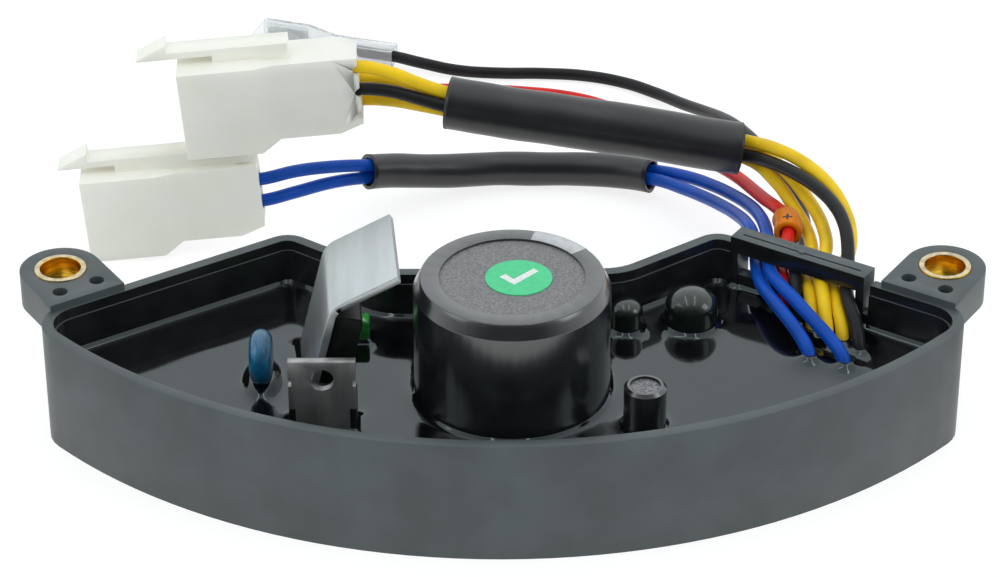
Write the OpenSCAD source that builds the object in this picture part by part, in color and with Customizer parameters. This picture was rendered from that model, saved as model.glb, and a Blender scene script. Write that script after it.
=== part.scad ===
// Automatic voltage regulator for a generator.
// An arc-shaped tray with two bushed lugs, filled with resin around its components,
// with a two-way harness, a six-way harness and two brush leads.
// X runs along the line of the fixing holes, Y points to the back, Z points up from the base.

/* [Housing] */
// Distance between the two fixing holes
hole_spacing = 140; // [136:0.5:144]
// Height of the tray's rim above its base
rim_height = 20.2; // [19:0.1:22]
// Thickness of the tray's walls
wall = 1.8; // [1.4:0.1:2.2]
// Width of the ledge round the inside of the walls
ledge_w = 0.3; // [0.2:0.05:0.4]
// Depth of the ledge below the rim
ledge_drop = 1.7; // [1:0.1:2.5]
// Thickness of the tray's floor
floor_t = 2; // [1.5:0.1:2.4]
// Radius of the curved front wall
front_radius = 95; // [92:0.5:100]
// Distance from the line of the fixing holes to the front of the tray
front_reach = 49; // [47:0.5:52]
// Distance of the rear wall's middle behind the line of the fixing holes
rear_reach = 1.6; // [1:0.1:2.4]
// Half width of the rear wall's flat middle, to its sharp corners
notch_half = 18.6; // [17:0.1:20]
// Slope of the notch's sides
notch_angle = 36; // [33:0.5:39]
// Slope of the straight back walls
back_angle = 32.7; // [31:0.1:34]
// Radius of the tray's two end corners
end_r = 6.5; // [5:0.1:8]
// Radius of the two rear crests
crest_r = 4; // [4:0.1:5]
// Radius at the foot of the notch's sides
notch_r = 8; // [5:0.1:10]
// Height of the posts under the circuit board
post_h = 2; // [1.5:0.1:2.4]
// Diameter of the posts under the circuit board
post_d = 4; // [3:0.1:5]

/* [Lugs] */
// Radius of each lug's round end
lug_r = 6.45; // [5.8:0.05:7]
// Distance from the fixing hole to the wall that carries the lug
lug_reach = 8.1; // [7.4:0.1:8.8]
// Thickness of each lug
lug_t = 5.8; // [4.5:0.1:7]
// Width of the rim left clear inside each lug
lug_step = 0.5; // [0.3:0.1:0.8]
// Height of the lugs' tops above the rim
lug_rise = 1.2; // [0.6:0.1:2]
// Bore of each fixing bush
bush_bore = 6.4; // [5.5:0.1:6.8]
// Outside diameter of each fixing bush
bush_od = 8.3; // [7.6:0.1:9]
// How far each bush stands above its lug
bush_proud = 0.2; // [0.1:0.05:0.5]
// Diameter of the two blind marks on each lug
mark_d = 2.4; // [1.6:0.1:3]
// Distance between the two blind marks
mark_gap = 6.4; // [5:0.1:8]
// Depth of the blind marks
mark_depth = 1.5; // [0.8:0.1:2.5]

/* [Wire bridge] */
// Distance of the bridge from the corner of the rear crest
bridge_start = 4; // [3.6:0.1:4.6]
// Length of the bridge along the wall
bridge_len = 24; // [23:0.1:25]
// Depth of the bridge's bar, from bottom to top
bridge_bar = 2.8; // [2.2:0.1:3]
// Height of the bridge above the rim
bridge_rise = 1.4; // [1.2:0.1:2.2]
// How far the bridge stands out of the wall
bridge_out = 1.4; // [0.8:0.1:2]
// How far the bridge stands into the tray
bridge_in = 0.5; // [0.3:0.1:1]
// Thickness of the bridge's two legs
leg_t = 1.4; // [1:0.1:1.4]
// Height of the window's sill above the resin
sill_rise = 2.6; // [1.5:0.1:2.8]
// Width of the slit beside the right leg
slit_w = 0.9; // [0.5:0.1:1.2]
// Width of the groove along the top of the bar
groove_w = 0.4; // [0.2:0.1:0.6]
// Diameter of the moulding nib in the middle of the groove
nib_d = 1; // [0.8:0.1:1.2]

/* [Resin and boards] */
// Level of the resin above the base
resin_level = 12.3; // [11.5:0.1:13]
// Thickness of the circuit boards
board_t = 1.6; // [1:0.1:2]
// Gap between the circuit board and the walls
board_gap = 1.2; // [1:0.1:1.3]
// Length of the upright control board
control_len = 8.4; // [6:0.1:10]
// Height of the control board above the resin
control_rise = 1.2; // [0.6:0.1:3]

/* [Main capacitor] */
// Diameter over the sleeve
cap_d = 30.2; // [28:0.1:31]
// Height of the top above the base
cap_top = 32.6; // [28:0.1:36]
// Thickness of the sleeve
cap_sleeve_t = 0.4; // [0.3:0.05:0.6]
// Width of the sleeve's sloping shoulder
cap_shoulder_w = 1; // [0.8:0.1:1.4]
// Height of the sleeve's sloping shoulder
cap_shoulder_h = 2.2; // [1.6:0.1:2.8]
// Width of the sleeve's lip on the top, with the shoulder
cap_lip = 4; // [3:0.1:5]
// Thickness of the top disc
cap_disc_t = 0.6; // [0.4:0.1:1]
// Diameter of the round sticker
sticker_d = 10.2; // [6:0.1:14]
// Distance between the two terminals
cap_pin_gap = 10; // [8:0.5:12]

/* [Heat sink and rectifier] */
// Thickness of the plate
sink_t = 1.2; // [1:0.1:1.6]
// Length along the bend
sink_len = 19; // [16:0.1:21]
// Height of the bend above the base
sink_bend_z = 30.4; // [26:0.1:34]
// Lean of the upright part from the vertical
sink_lean = 14; // [10:0.5:16]
// Rise of the flange from the level
sink_flange_angle = 26.5; // [20:0.5:40]
// Width of the flange
sink_flange_w = 9.6; // [8:0.1:13]
// Inside radius of the bend
sink_bend_r = 2.8; // [1.6:0.1:3.6]
// Length of the rectifier along the bend
rectifier_len = 15; // [12:0.1:15.5]
// Thickness of the rectifier
rectifier_t = 4.6; // [3.4:0.1:4.8]
// Distance along the plate from the board up to the rectifier
rectifier_lift = 5; // [4:0.1:6]
// Distance along the plate from the bend's corner down to the rectifier
rectifier_drop = 2.5; // [2.4:0.1:4]

/* [Transistor] */
// Width of the transistor
tr_w = 10.2; // [9.6:0.1:10.6]
// Height of the tab's top above the base
tr_top = 25; // [23:0.1:26]
// Thickness of the metal tab
tr_tab_t = 1.3; // [1:0.1:1.5]
// Height of the metal tab
tr_tab_h = 15.4; // [15:0.1:16]
// Height of the black body
tr_body_h = 9.2; // [8.6:0.1:9.4]
// Thickness of the black body behind the tab
tr_body_t = 3.2; // [2.6:0.1:3.4]
// Diameter of the hole in the tab
tr_hole_d = 3.6; // [3:0.1:3.9]
// Distance between the leads
tr_pitch = 2.54; // [2.4:0.01:2.6]

/* [Small components] */
// Diameter of the varistor
var_d = 8.8; // [7:0.1:9.4]
// Thickness of the varistor
var_t = 3.5; // [3:0.1:4.5]
// Length of the film capacitor
film_l = 5.8; // [5:0.1:7]
// Thickness of the film capacitor
film_t = 3; // [2.4:0.1:3.4]
// Height of the film capacitor above the resin
film_rise = 4; // [3:0.1:6]
// Diameter of the small electrolytic capacitor over its sleeve
ecap_d = 6.5; // [5:0.1:8]
// Height of the small electrolytic capacitor above the resin
ecap_rise = 7.7; // [4:0.1:9]
// Thickness of the small electrolytic capacitor's sleeve
ecap_sleeve_t = 0.2; // [0.15:0.05:0.3]
// Diameter of the large dipped capacitor
dome_d = 8.4; // [7:0.1:9.4]
// Diameter of the small dipped capacitor
dome_small_d = 5.2; // [4:0.1:6]
// Height of the dipped capacitors' straight sides above the resin
dome_rise = 3.4; // [1.5:0.1:4]
// Height of the dipped capacitors' round tops, as a share of their radius
dome_share = 0.72; // [0.5:0.01:1]
// Diameter of a component's lead
lead_d = 0.8; // [0.6:0.05:1]

/* [Harness] */
// Diameter of the wires
wire_d = 2.2; // [2:0.05:2.2]
// Outside diameter of the large sleeve
large_sleeve_d = 9; // [8.4:0.1:9.4]
// Outside diameter of the small sleeve
small_sleeve_d = 6.2; // [5.8:0.1:6.4]
// Wall of the sleeves
sleeve_wall = 0.6; // [0.4:0.05:0.7]
// Outside diameter of the polarity tag
tag_d = 4.7; // [4.4:0.1:4.7]
// Length of the polarity tag
tag_len = 5; // [4:0.1:6]
// Wall of the polarity tag
tag_wall = 0.9; // [0.7:0.05:1]

/* [Connectors] */
// Height of the two-way connector's mouth
two_h = 15.4; // [14.5:0.1:16]
// Depth of the two-way connector's mouth
two_d = 10.5; // [10:0.1:11.5]
// Height of the six-way connector's mouth
six_h = 16; // [15.5:0.1:17]
// Depth of the six-way connector's mouth
six_d = 12; // [11.6:0.1:13]
// Length of the connectors' wide front part
plug_front = 12.8; // [12:0.1:14]
// Length of the taper behind the front part
plug_taper = 3.2; // [2.4:0.1:4]
// Length of the connectors' slim part
plug_slim = 10; // [9:0.1:11]
// Length of the connectors' tapered tail
plug_tail = 4; // [3:0.1:5]
// Step between the wide and the slim part
plug_step = 1.6; // [1.2:0.1:2.2]
// Thickness of the mouths' walls
plug_wall = 1.1; // [0.9:0.1:1.4]
// Depth of the mouths
mouth_depth = 9.5; // [8:0.1:10.5]
// Distance between the wires in a connector
plug_pitch = 4.2; // [4:0.1:4.4]
// Width of the latch bars
latch_w = 4.2; // [3.4:0.1:5]
// Thickness of the latch bars
latch_t = 1.2; // [1:0.1:1.6]
// Gap under the latch bars
latch_gap = 1.2; // [0.8:0.1:1.6]
// How far the two-way connector's latch bar reaches out in front of its mouth
two_nose = 3.6; // [2:0.1:5]
// How far the six-way connector's latch bar reaches out in front of its mouth
six_nose = 6.6; // [5:0.1:8]
// Distance from the mouths back to the latch bars' roots
latch_free = 6; // [4:0.1:7]
// Length of the ramp on the latch bars' noses
barb_len = 5.1; // [4:0.1:5.6]
// Height of the barbs over the latch bars
barb_h = 1.4; // [0.8:0.1:1.8]
// Width of the brush terminals
spade_w = 6.6; // [6:0.1:7]
// Length of the brush terminals' flat receptacle
spade_len = 8; // [7:0.1:9]
// Length of the clear covers over the wires' ends
cover_tail = 10; // [8:0.5:10]

/* [Hidden] */
$fn = 48;
// Clearance between pieces that are pushed together
fit = 0.05;
// Overrun of cuts past the faces that they open
over = 1;

// Straight back wall on the right: its direction, its outward normal and its distance along that normal
back_dir = [cos(back_angle), -sin(back_angle)];
back_out = [sin(back_angle), cos(back_angle)];
back_dist = hole_spacing / 2 * back_out.x - lug_reach;
// Right side of the notch, by its outward normal and its distance
notch_out = [-sin(notch_angle), cos(notch_angle)];
notch_dist = notch_out * [notch_half, rear_reach];

// Point that lies at distances da and db along the normals a and b
function meet(a, da, b, db) =
    let (det = a.x * b.y - a.y * b.x) [(da * b.y - db * a.y) / det, (a.x * db - b.x * da) / det];
function unit(v) = v / norm(v);
function polar(r, a) = r * [cos(a), sin(a)];
function arc_points(c, r, a0, a1, n) = [for (i = [0:n]) c + polar(r, a0 + (a1 - a0) * i / n)];
function mirrored(points) = [for (i = [len(points) - 1:-1:0]) [-points[i].x, points[i].y]];

// Centres of the outline's arcs, from the middle of the line of holes
front_c = [0, front_radius - front_reach];
crest_c = meet(back_out, back_dist - crest_r, notch_out, notch_dist - crest_r);
crest_corner = meet(back_out, back_dist, notch_out, notch_dist);
notch_c = meet([0, 1], rear_reach + notch_r, notch_out, notch_dist + notch_r);
end_foot = (back_dist - end_r) * back_out;
end_gap = end_foot - front_c;
end_run = -end_gap * back_dir + sqrt(pow(end_gap * back_dir, 2) - end_gap * end_gap
    + pow(front_radius - end_r, 2));
end_c = end_foot + end_run * back_dir;
end_angle = atan2(end_c.y - front_c.y, end_c.x);

// Outline of the tray, drawn in from its outer face by the inset, from the middle of the line of holes
function tray_half(inset) = concat(
    arc_points(front_c, front_radius - inset, -90, end_angle, 22),
    arc_points(end_c, end_r - inset, end_angle, 90 - back_angle, 8),
    arc_points(crest_c, crest_r - inset, 90 - back_angle, 90 + notch_angle, 6),
    arc_points(notch_c, notch_r + inset, notch_angle - 90, -90, 5));
function tray_outline(inset) =
    let (half = tray_half(inset), left = mirrored(half)) concat(half, [for (i = [0:len(left) - 2]) left[i]]);

// The base's middle is the origin, so the line of the holes lies behind it
hole_y = (front_reach - crest_c.y - crest_r) / 2;
bay_inset = wall + ledge_w;
board_inset = bay_inset + board_gap;
board_z = floor_t + post_h;
board_top = board_z + board_t;
// The leads end this far under the board
lead_stub = 1;
lead_end = board_z - lead_stub;
lug_top = rim_height + lug_rise;
bush_h = lug_t + bush_proud;
bar_top = rim_height + bridge_rise;
bar_bottom = bar_top - bridge_bar;
sill_z = resin_level + sill_rise;
// The groove's near side, from the wall's outer face, and the height of the nib in it
groove_y = -wall / 2;
nib_h = 0.3;
post_at = [[-58, 2], [58, 2], [-40, 19], [40, 19], [-28, -19], [30, -17]];

// Places of the components on the board
cap_at = [1.4, -2.8];
sticker_at = [2.4, -2.8];
sink_at = [-26.8, 0.8];
sink_yaw = 5;
tr_at = [-27.2, -15];
var_at = [-37.3, -0.8];
film_at = [-23.9, 11.8];
ecap_at = [21.4, -13.7];
dome_at = [29.9, 15.9];
dome_small_at = [19.6, 14.5];
control_at = [41.5, -11.6];
control_yaw = 22;
// Height of the varistor and of the film capacitor above the resin and the board
var_lift = 0.2;
film_lift = 1;
var_z = resin_level + var_d / 2 + var_lift;
// Depth of the flat on the varistor's underside, where its leads come out
var_flat = 0.6;
lead_gap = 2.5;

// Routes of the wires, from the resin to their far ends
blue_a_route = [[48, 5, 12.3], [47.6, 6, 13.6], [46.4, 8.8, 14.8], [44.6, 12.8, 15.6], [42.8, 17, 16],
    [41.5, 21, 16.1], [41, 24.6, 16.1], [41, 28.9, 16.1], [41.1, 33.4, 15.9], [41.1, 39, 15.1],
    [40.6, 45, 13.6], [39.4, 51.4, 11.6], [37.4, 58, 9.5], [34.6, 64.6, 7.5], [31.2, 70.6, 5.8],
    [26.8, 76.1, 4.4], [20.5, 79.2, 3.5], [13.6, 80.9, 2.9], [6.5, 81.3, 2.5], [-0.6, 81.2, 2.4],
    [-7, 79.9, 2.9], [-13, 78, 4], [-18.6, 75.8, 5.4], [-24, 73, 6.7], [-29.6, 69.4, 7.8],
    [-35.4, 65, 8.5], [-41, 62.1, 8.5], [-46.7, 61.9, 8.1]];
blue_b_route = [[53.4, 3, 12.3], [52.9, 4, 13.6], [51.4, 6.6, 14.9], [49, 10.4, 16], [46.6, 14.6, 16.9],
    [44.2, 19, 17.5], [42.9, 22.6, 17.6], [42.9, 27.6, 17.5], [43.2, 31.6, 17.2], [43.3, 36.4, 16.3],
    [43.3, 42, 15.1], [42.8, 48, 13.6], [41.6, 54.4, 11.8], [39.4, 61, 9.9], [36.4, 67.6, 8],
    [32.4, 73.8, 6.2], [27.7, 78.5, 4.7], [20.8, 81.5, 3.9], [13.8, 83.1, 3.5], [6.5, 83.3, 3.9],
    [-0.4, 82.7, 4.3], [-7.1, 80.7, 5.1], [-13.2, 78.2, 6.3], [-18.6, 75.6, 7.8], [-24, 72.8, 9.3],
    [-29.5, 69.3, 11], [-35.3, 65.2, 12.5], [-41.2, 62.1, 12.7], [-46.9, 61.9, 12.3]];
yellow_a_route = [[49, 12.6, 12.3], [49, 13.5, 13.6], [48.9, 15.6, 15.1], [48.9, 18, 15.9],
    [48.8, 20.6, 16.1], [48.8, 24, 16.1], [49.7, 28, 16.1], [50.2, 31.6, 16.1], [50.3, 36, 15.8],
    [49.8, 41, 15.5], [48.3, 46.8, 15.9], [45.7, 53, 17.2], [41.2, 58.5, 18.5], [36.5, 58.2, 19.5],
    [29, 57.5, 21.4], [22.6, 57.3, 22.8], [16.3, 57.2, 23.9], [9.6, 57.5, 24.9], [2.9, 58, 25.7],
    [-3.2, 58.9, 26.4], [-8.6, 60, 26.9], [-13.9, 62, 27], [-18.9, 64.7, 26.5], [-24.1, 66.2, 25.9],
    [-29.3, 66, 25.5]];
yellow_b_route = [[51.1, 10.2, 12.3], [51.1, 11.2, 13.6], [50.9, 13.4, 15.4], [50.8, 16, 16.8],
    [50.7, 18.8, 17.5], [50.7, 22.6, 17.5], [51.6, 26.6, 17.6], [52.4, 30.6, 17.7], [52.5, 35.4, 17.6],
    [51.9, 41, 17.5], [50.3, 47, 17.8], [47.2, 53.6, 18.9], [41.8, 60.1, 20.5], [36.5, 59.8, 21.2],
    [29, 59.1, 23], [22.6, 58.9, 24.4], [16.3, 58.8, 25.5], [9.6, 59.1, 26.5], [2.9, 59.6, 27.3],
    [-3.2, 60.5, 28], [-8.6, 61.6, 28.5], [-13.9, 63.4, 29.1], [-18.9, 65.5, 29.7], [-24.1, 66.2, 30.1],
    [-29.6, 66, 29.6]];
yellow_c_route = [[53.5, 9.6, 12.3], [53.5, 10.5, 13.6], [53.3, 12.6, 15], [53, 15, 15.7],
    [52.8, 17.4, 16.1], [52.8, 21.4, 16.4], [53.5, 24, 16.3], [54.9, 26.5, 16.8], [56.1, 29.4, 18],
    [56.4, 32.8, 19.3], [55.9, 37.1, 20.4], [54, 42.7, 21.8], [50.6, 48.4, 22.7], [46, 53.2, 23.1],
    [41.2, 57.9, 22.1], [36.5, 58.2, 22.8], [29, 57.5, 24.6], [22.6, 57.3, 26], [16.3, 57.2, 27.1],
    [9.6, 57.5, 28.1],
    [2.9, 58, 28.9], [-3.2, 58.9, 29.6], [-8.6, 60, 30.2], [-13.9, 61, 31.6], [-18.9, 61.9, 33.3],
    [-24.1, 61.9, 34.4], [-29.8, 61.7, 33.9]];
black_route = [[55.9, 7, 12.3], [55.8, 8, 13.6], [55.5, 10.4, 15.4], [54.8, 13, 16.8], [54.5, 16, 17.5],
    [54.8, 20, 17.5], [55.1, 22.6, 17.9], [55.4, 25.6, 19.1], [55.5, 28.8, 20.3], [55.2, 32.2, 21.2],
    [54.2, 36.4, 21.8], [52, 41.6, 22], [48.8, 47, 21.8], [45, 52, 21.2], [41, 56.3, 20.3],
    [36.5, 56.5, 21.2], [29, 55.8, 23],
    [22.6, 55.6, 24.4], [16.3, 55.5, 25.5], [9.6, 55.8, 26.5], [2.9, 56.3, 27.3], [-3.2, 57.2, 28],
    [-8.6, 58.3, 28.5], [-13.9, 60, 29.3], [-18.9, 61.6, 29.9], [-24.1, 62, 30.1], [-29.5, 61.8, 29.6]];
red_route = [[44.8, 17.4, 12.3], [44.8, 18.3, 13.6], [44.9, 20, 15], [44.9, 22, 16.1], [44.9, 26.4, 16.2],
    [45.4, 30, 16.6], [46.4, 34, 17.2], [46.8, 38, 17.4], [46.4, 42.4, 16.9], [45.4, 47, 15.7],
    [44, 52.4, 14.1], [42.4, 58.4, 12.6], [40.4, 65, 11.1], [37.6, 72.4, 9.2], [34, 80.4, 7.2],
    [30.4, 88.4, 5.1], [27.2, 96.4, 3.1], [23.6, 103.8, 1.7], [18.6, 109.4, 1.2], [12, 112.8, 1.2],
    [4, 114.6, 1.2], [-6, 115.6, 1.2], [-16, 116, 1.2], [-22.5, 116, 1.7], [-28, 116, 2.2],
    [-33, 116, 2.2], [-37, 116, 2.2]];
brush_black_route = [[47, 15.4, 12.3], [46.8, 16.3, 13.6], [46.5, 18, 15.4], [46.6, 19.6, 16.6],
    [46.8, 22, 17.5], [46.9, 25.2, 17.4], [47.4, 28, 16.9], [47.9, 31.4, 15.3], [48.5, 35, 14],
    [49.3, 39, 12.9], [50.2, 43.6, 12.4], [50.3, 50, 12.3], [49.4, 57, 12.4], [47.8, 64, 12.6],
    [45.4, 71, 12.6], [43, 79, 11.6], [41.2, 86, 9.8], [39.2, 93, 7.5], [36.6, 100, 5], [33, 107, 2.8],
    [28.4, 113.6, 1.5], [22.8, 118.2, 1.2], [15.6, 121, 1.2], [7.6, 122, 1.2], [-0.6, 122.2, 1.2],
    [-8.4, 123, 1.4], [-15, 125, 1.9], [-20.4, 127.2, 2.2], [-25, 128.7, 2.2], [-29.7, 130.2, 2.2]];
small_sleeve_route = [[26.2, 77.7, 4.3], [20.7, 80.3, 3.7], [13.7, 82, 3.2], [6.5, 82.3, 3.1],
    [-0.5, 82, 3.4], [-7, 80.3, 4], [-13.1, 78.1, 5.1], [-18.6, 75.7, 6.6], [-23.4, 73.2, 7.8]];
large_sleeve_route = [[40, 58.3, 20.5], [36.5, 58.2, 21.1], [29, 57.5, 23], [22.6, 57.3, 24.4],
    [16.3, 57.2, 25.5], [9.6, 57.5, 26.5], [2.9, 58, 27.3], [-3.2, 58.9, 28], [-9, 60, 28.5]];

// Where the connectors lie: the lower one stands on the surface, the upper one on its latch bar
two_at = [-70.2, 55.8, 0];
plug_pitch_up = 4.5;
plug_yaw = 2;
six_shift = [18.8, 0.6, two_h + latch_gap + latch_t];
plug_len = plug_front + plug_taper + plug_slim + plug_tail;
slim_start = plug_front + plug_taper;
tail_start = slim_start + plug_slim;
// How far the wires lie above the middle of their connectors, their play in them and how far they go in
wire_lift = 0.6;
wire_play = 0.8;
wire_entry = 6;
two_wires = [for (k = [-0.5, 0.5]) [two_d / 2, two_h / 2 + wire_lift + k * plug_pitch]];
six_wires = [for (j = [-0.5, 0.5], k = [-1:1])
    [six_d / 2 + j * plug_pitch, six_h / 2 + wire_lift + k * plug_pitch]];
cavity_d = wire_d + wire_play;
crimp_end = plug_len - wire_entry;
// Where the latch bars end: the lower one is longer, as the upper connector stands on it
two_lever = plug_len - over;
six_lever = (slim_start + tail_start) / 2 - wire_d;

// Tangent of a route at its point i, with the first one straight up out of the resin
function heading(p, i, first) =
    i == 0 ? (first == undef ? unit(p[1] - p[0]) : first)
    : i == len(p) - 1 ? unit(p[i] - p[i - 1])
    : unit(unit(p[i + 1] - p[i]) + unit(p[i] - p[i - 1]));
// Side vectors of the rings along a route, carried on from ring to ring without twist
function sides_of(p, first, i = 0, before = [1, 0.3, 0.1]) =
    i == len(p) ? []
    : let (t = heading(p, i, first), s = unit(before - (before * t) * t))
        concat([s], sides_of(p, first, i + 1, s));
function ring_points(p, r, n, first) =
    let (sides = sides_of(p, first))
    [for (i = [0:len(p) - 1])
        let (s = sides[i], b = cross(heading(p, i, first), s))
        for (k = [0:n - 1]) p[i] + r * (cos(360 * k / n) * s + sin(360 * k / n) * b)];
function skin(rings, n, base, flip) =
    [for (i = [0:rings - 2], k = [0:n - 1])
        let (a = base + i * n + k, b = base + i * n + (k + 1) % n, c = b + n, d = a + n)
        each (flip ? [[a, b, c], [a, c, d]] : [[a, c, b], [a, d, c]])];

// A solid round tube along a route
module cord(route, d, first = undef, n = 8) {
    rings = len(route);
    polyhedron(ring_points(route, d / 2, n, first), concat(
        skin(rings, n, 0, false),
        [[for (k = [0:n - 1]) k]],
        [[for (k = [n - 1:-1:0]) (rings - 1) * n + k]]));
}

// Faces that close one end of a hollow sleeve, between its outer ring a and its inner ring b
function end_faces(a, b, n, flip) =
    [for (k = [0:n - 1])
        let (m = (k + 1) % n)
        each (flip ? [[a + m, a + k, b + k], [a + m, b + k, b + m]]
            : [[a + k, a + m, b + m], [a + k, b + m, b + k]])];

// A hollow sleeve along a route
module pipe(route, d, t, n = 16) {
    rings = len(route);
    inner = rings * n;
    last = (rings - 1) * n;
    polyhedron(concat(ring_points(route, d / 2, n, undef), ring_points(route, d / 2 - t, n, undef)), concat(
        skin(rings, n, 0, false),
        skin(rings, n, inner, true),
        end_faces(0, inner, n, false),
        end_faces(last, inner + last, n, true)));
}

module tray_prism(inset, z0, z1) {
    translate([0, hole_y, z0]) linear_extrude(height = z1 - z0) polygon(tray_outline(inset));
}

// Frame at the right fixing hole: X along the back wall towards the end, Y outwards
module lug_frame() {
    translate([hole_spacing / 2, hole_y, 0]) rotate([0, 0, -back_angle]) children();
}

// Frame at the crest's corner: X along the right back wall, Y outwards from its outer face
module wall_frame() {
    translate([crest_corner.x, crest_corner.y + hole_y, 0]) rotate([0, 0, -back_angle]) children();
}

module both_sides() {
    children();
    mirror([1, 0, 0]) children();
}

module lug_plate() {
    lug_frame() translate([0, 0, lug_top - lug_t]) linear_extrude(height = lug_t) {
        circle(r = lug_r);
        translate([-lug_r, -lug_reach - wall + lug_step]) square([2 * lug_r, lug_reach + wall - lug_step]);
    }
}

module lug_cuts() {
    lug_frame() {
        translate([0, 0, lug_top - lug_t - over]) cylinder(d = bush_od + 2 * fit, h = lug_t + 2 * over);
        for (side = [-1, 1])
            translate([side * mark_gap / 2, -lug_reach + wall, lug_top - mark_depth])
                cylinder(d = mark_d, h = mark_depth + over);
    }
}

// The bar and legs that hold the wires down at the window
module bridge() {
    depth = bridge_out + wall + bridge_in;
    wall_frame() translate([bridge_start, -wall - bridge_in, 0]) {
        translate([0, 0, bar_bottom]) cube([bridge_len, depth, bridge_bar]);
        for (x = [0, bridge_len - leg_t])
            translate([x, 0, floor_t]) cube([leg_t, depth, bar_bottom - floor_t + fit]);
    }
    wall_frame() translate([bridge_start + bridge_len / 2, groove_y + groove_w / 2, bar_top - fit])
        cylinder(d = nib_d, h = nib_h, $fn = 24);
}

module bridge_cuts() {
    groove_len = bridge_len / 2 - leg_t - nib_d / 2;
    wall_frame() {
        translate([bridge_start + leg_t, -wall - bridge_in - over, sill_z])
            cube([bridge_len - 2 * leg_t, wall + bridge_in + bridge_out + 2 * over, bar_bottom - sill_z]);
        translate([bridge_start + bridge_len, -wall - over, sill_z])
            cube([slit_w, wall + 2 * over, bar_top]);
        for (x = [leg_t, (bridge_len + nib_d) / 2])
            translate([bridge_start + x, groove_y, bar_top - groove_w])
                cube([groove_len, groove_w, groove_w + over]);
    }
}

module housing() {
    color("#26282b") difference() {
        union() {
            difference() {
                tray_prism(0, 0, rim_height);
                tray_prism(wall, rim_height - ledge_drop, rim_height + over);
                tray_prism(bay_inset, floor_t, rim_height);
            }
            both_sides() lug_plate();
            bridge();
            for (p = post_at)
                translate([p.x, p.y, floor_t - fit]) cylinder(d = post_d, h = post_h + fit);
        }
        both_sides() lug_cuts();
        bridge_cuts();
    }
}

module bush() {
    lug_frame() translate([0, 0, lug_top - lug_t]) difference() {
        cylinder(d = bush_od, h = bush_h);
        translate([0, 0, -over]) cylinder(d = bush_bore, h = bush_h + 2 * over);
    }
}

module bush_right() {
    color("#c9a24a") bush();
}

module bush_left() {
    color("#c9a24a") mirror([1, 0, 0]) bush();
}

// Everything that stands in the resin
module resin_voids() {
    tray_prism(board_inset, board_z, board_top);
    for (p = post_at)
        translate([p.x, p.y, floor_t - over]) cylinder(d = post_d, h = post_h + over);
    wall_frame() translate([bridge_start, -wall - bridge_in - fit, 0])
        for (x = [0, bridge_len - leg_t])
            translate([x - fit, 0, 0]) cube([leg_t + 2 * fit, wall, bar_top]);
    round_void(cap_at, cap_d);
    capacitor_terminals();
    heat_sink();
    rectifier();
    rectifier_leads();
    transistor_tab();
    transistor_body();
    transistor_leads();
    varistor_leads();
    film_capacitor();
    film_capacitor_leads();
    round_void(ecap_at, ecap_d);
    small_capacitor_leads();
    round_void(dome_at, dome_d);
    round_void(dome_small_at, dome_small_d);
    dipped_capacitor_leads();
    control_board();
}

module round_void(at, d) {
    translate([at.x, at.y, board_top]) cylinder(d = d, h = rim_height);
}

module potting() {
    color("#141517") difference() {
        tray_prism(bay_inset, floor_t, resin_level);
        resin_voids();
    }
}

module circuit_board() {
    color("#3f6b46") difference() {
        tray_prism(board_inset, board_z, board_top);
        capacitor_terminals();
        rectifier_leads();
        transistor_leads();
        varistor_leads();
        film_capacitor_leads();
        small_capacitor_leads();
        dipped_capacitor_leads();
    }
}

module control_board() {
    color("#6f7a70") translate([control_at.x, control_at.y, board_top]) rotate([0, 0, control_yaw])
        translate([-control_len / 2, -board_t / 2, 0])
            cube([control_len, board_t, resin_level + control_rise - board_top]);
}

// Main capacitor: a can in a sleeve that is shrunk over its rim, with a disc under the lip
cap_collar = cap_shoulder_w + cap_sleeve_t;

module capacitor_sleeve() {
    r = cap_d / 2;
    edge = cap_sleeve_t / 2;
    shoulder_z = cap_top - cap_shoulder_h;
    under = cap_top - cap_sleeve_t;
    color("#17181a") translate([cap_at.x, cap_at.y, 0]) rotate_extrude($fn = 96) polygon([
        [r, board_top], [r, shoulder_z], [r - cap_shoulder_w, cap_top - edge],
        [r - cap_shoulder_w - edge, cap_top], [r - cap_lip, cap_top], [r - cap_lip, under],
        [r - cap_collar, under], [r - cap_sleeve_t, shoulder_z], [r - cap_sleeve_t, board_top]]);
}

module capacitor_can() {
    r = cap_d / 2 - cap_sleeve_t - fit;
    top = cap_top - cap_sleeve_t - cap_disc_t;
    color("#b9bcc0") translate([cap_at.x, cap_at.y, 0]) rotate_extrude($fn = 96) polygon([
        [0, board_top], [r, board_top], [r, top - cap_collar], [r - cap_collar, top], [0, top]]);
}

module capacitor_top_disc() {
    top = cap_top - cap_sleeve_t;
    color("#4a4c50") translate([cap_at.x, cap_at.y, top - cap_disc_t])
        cylinder(d = cap_d - 2 * (cap_collar + fit), h = cap_disc_t, $fn = 96);
}

module capacitor_terminals() {
    pin_d = 2 * lead_d;
    color("#c8c8c4") for (side = [-0.5, 0.5])
        translate([cap_at.x + side * cap_pin_gap, cap_at.y, lead_end])
            cylinder(d = pin_d, h = board_top - lead_end);
}

module inspection_sticker() {
    sticker_t = 0.15;
    color("#1f9d57") translate([sticker_at.x, sticker_at.y, cap_top - cap_sleeve_t])
        cylinder(d = sticker_d, h = sticker_t, $fn = 64);
}

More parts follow.
